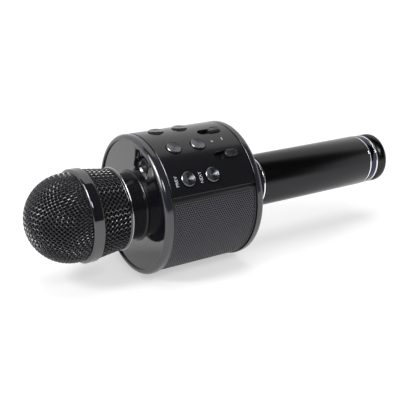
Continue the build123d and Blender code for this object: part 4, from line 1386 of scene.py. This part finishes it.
# ---------------------------------------------------------------- stage
@dataclass(frozen=True)
class SoftBox:
    """A round soft box: place and target in millimetres, size in metres and power in watts."""

    name: str
    place: tuple[float, float, float]
    target: tuple[float, float, float]
    size: float
    power: float
    mirrored: bool = True
    lights: bool = True

    def hang(self) -> None:
        """Hang the soft box, turned to its target."""
        data = bpy.data.lights.new(self.name, "AREA")
        data.shape = "DISK"
        data.size = self.size
        data.energy = self.power
        lamp = add_object(self.name, data)
        lamp.visible_glossy = self.mirrored
        lamp.visible_diffuse = self.lights
        lamp.location = Vector(self.place) * MM
        lamp.rotation_mode = "QUATERNION"
        lamp.rotation_quaternion = (Vector(self.target) - Vector(self.place)).to_track_quat("-Z", "Y")


@dataclass
class Stage:
    """Floor, backdrop, lamps and camera."""

    lens_px: float = 788.0
    frame_px: float = 400.0
    camera_place: tuple[float, float, float] = (-254.9, -371.8, 186.9)
    camera_aim: tuple[float, float, float] = (0.5129, 0.7944, -0.3255)
    camera_right: tuple[float, float, float] = (0.8401, -0.5424, 0.0)
    sensor: float = 36.0
    floor_edge: float = 6000.0
    floor_tone: tuple[float, float, float, float] = (0.62, 0.62, 0.63, 1.0)
    glow_from: float = 0.25
    glow_to: float = 1.1
    near_glow: float = 0.5
    far_glow: float = 0.82
    world_light: float = 0.35
    flag_distance: float = 1500.0

    def build(self) -> None:
        """Make the stage."""
        self.camera()
        self.floor()
        self.world()
        self.lamps()
        bpy.context.scene.view_settings.view_transform = "Standard"

    def camera(self) -> None:
        """Camera at the viewing angle, from its place and two directions."""
        data = bpy.data.cameras.new("camera")
        data.sensor_width = self.sensor
        data.lens = self.sensor * self.lens_px / self.frame_px
        data.clip_end = 20.0
        camera = add_object("camera", data)
        aim = Vector(self.camera_aim).normalized()
        right = Vector(self.camera_right).normalized()
        up = right.cross(aim).normalized()
        turn = Matrix((right, up, -aim)).transposed()
        camera.matrix_world = Matrix.Translation(Vector(self.camera_place) * MM) @ turn.to_4x4()
        bpy.context.scene.camera = camera

    def floor(self) -> None:
        """Plain white floor. What it shows the camera and mirrors is lifted to white, more so far away."""
        edge = self.floor_edge
        points = np.array([[-edge, -edge, 0], [edge, -edge, 0], [edge, edge, 0], [-edge, edge, 0]])
        floor = mesh_object("floor", points, np.array([[0, 1, 2, 3]]))
        material = bpy.data.materials.new("floor_white")
        material.use_nodes = True
        nodes, links = material.node_tree.nodes, material.node_tree.links
        nodes.clear()
        output, diffuse, glow, place, away, lift, strength, both = new_nodes(
            nodes, "OutputMaterial", "BsdfDiffuse", "Emission", "TexCoord", "VectorMath", "MapRange", "Math",
            "AddShader")
        away.operation = "LENGTH"
        strength.operation = "MULTIPLY"
        set_inputs(diffuse, {"Color": self.floor_tone})
        set_inputs(glow, {"Color": WHITE})
        set_inputs(lift, {
            "From Min": self.glow_from,
            "From Max": self.glow_to,
            "To Min": self.near_glow,
            "To Max": self.far_glow,
        })
        join(
            links,
            (place.outputs["Object"], away.inputs[0]),
            (away.outputs["Value"], lift.inputs["Value"]),
            (seen_directly(nodes, links), strength.inputs[0]),
            (lift.outputs["Result"], strength.inputs[1]),
            (strength.outputs[0], glow.inputs["Strength"]),
            (diffuse.outputs[0], both.inputs[0]),
            (glow.outputs[0], both.inputs[1]),
            (both.outputs[0], output.inputs["Surface"]),
        )
        floor.data.materials.append(material)

    def world(self) -> None:
        """Pale surroundings: white as seen and mirrored, and a plain grey light otherwise."""
        world = bpy.data.worlds.new("studio")
        bpy.context.scene.world = world
        world.use_nodes = True
        nodes, links = world.node_tree.nodes, world.node_tree.links
        background = nodes["Background"]
        strength = nodes.new("ShaderNodeMapRange")
        set_inputs(background, {"Color": WHITE})
        set_inputs(strength, {"To Min": self.world_light, "To Max": 1.0})
        join(
            links,
            (seen_directly(nodes, links), strength.inputs["Value"]),
            (strength.outputs["Result"], background.inputs["Strength"]),
        )

    def lamps(self) -> None:
        """Soft boxes, and a black cloth hung behind the camera that only mirrors see."""
        for lamp in (
            SoftBox("key", (-420, -70, 355), (-60, 0, 50), 0.14, 1.1),
            SoftBox("card", (-620, -90, 520), (-60, 0, 50), 0.6, 6.5, lights=False),
            SoftBox("top", (60, 60, 800), (0, 0, 40), 0.7, 3.2, mirrored=False),
            SoftBox("front", (-50, -690, 620), (-30, -20, 60), 0.26, 2.4),
        ):
            lamp.hang()
        self._flag()

    def _flag(self) -> None:
        """A black cloth, bent like part of a tunnel over and behind the camera."""
        tall = np.linspace(math.radians(2), math.radians(104), 24)
        wide = np.linspace(-2600, 3200, 12)
        facing = Vector((-0.42, -0.9, 0)).normalized()
        side = np.array([-facing.y, facing.x, 0])
        points = (wide[None, :, None] * side
                  + self.flag_distance * np.cos(tall)[:, None, None] * np.array(facing)
                  + self.flag_distance * np.sin(tall)[:, None, None] * np.array([0, 0, 1.0]))
        flag = mesh_object("black_flag", points, grid_faces(len(tall), len(wide)))
        material = bpy.data.materials.new("flag_cloth")
        material.use_nodes = True
        shader = material.node_tree.nodes["Principled BSDF"]
        set_inputs(shader, {"Base Color": (0.02, 0.02, 0.022, 1), "Roughness": 1.0})
        flag.data.materials.append(material)
        flag.visible_camera = False
        flag.visible_diffuse = False
        flag.visible_shadow = False


def dress_inner_nodes() -> None:
    """Give each CAD node its own finish, or the finish of its slot."""
    for part in frame["record"]["subparts"]:
        name = part["node"]
        dress(frame["nodes"][name], NODE_FINISHES.get(name) or SLOT_FINISHES[part["material_slot"]])


def main() -> None:
    """Build the stage and the microphone, and report each piece."""
    logging.basicConfig(level=logging.INFO, format="%(name)s: %(message)s")
    Stage().build()
    dress_inner_nodes()
    for assembly in (GrilleHead(), Barrel(), ControlPanel(), Handle()):
        LOG.info("building %s", type(assembly).__name__)
        assembly.build()


if __name__ == "__main__":
    main()
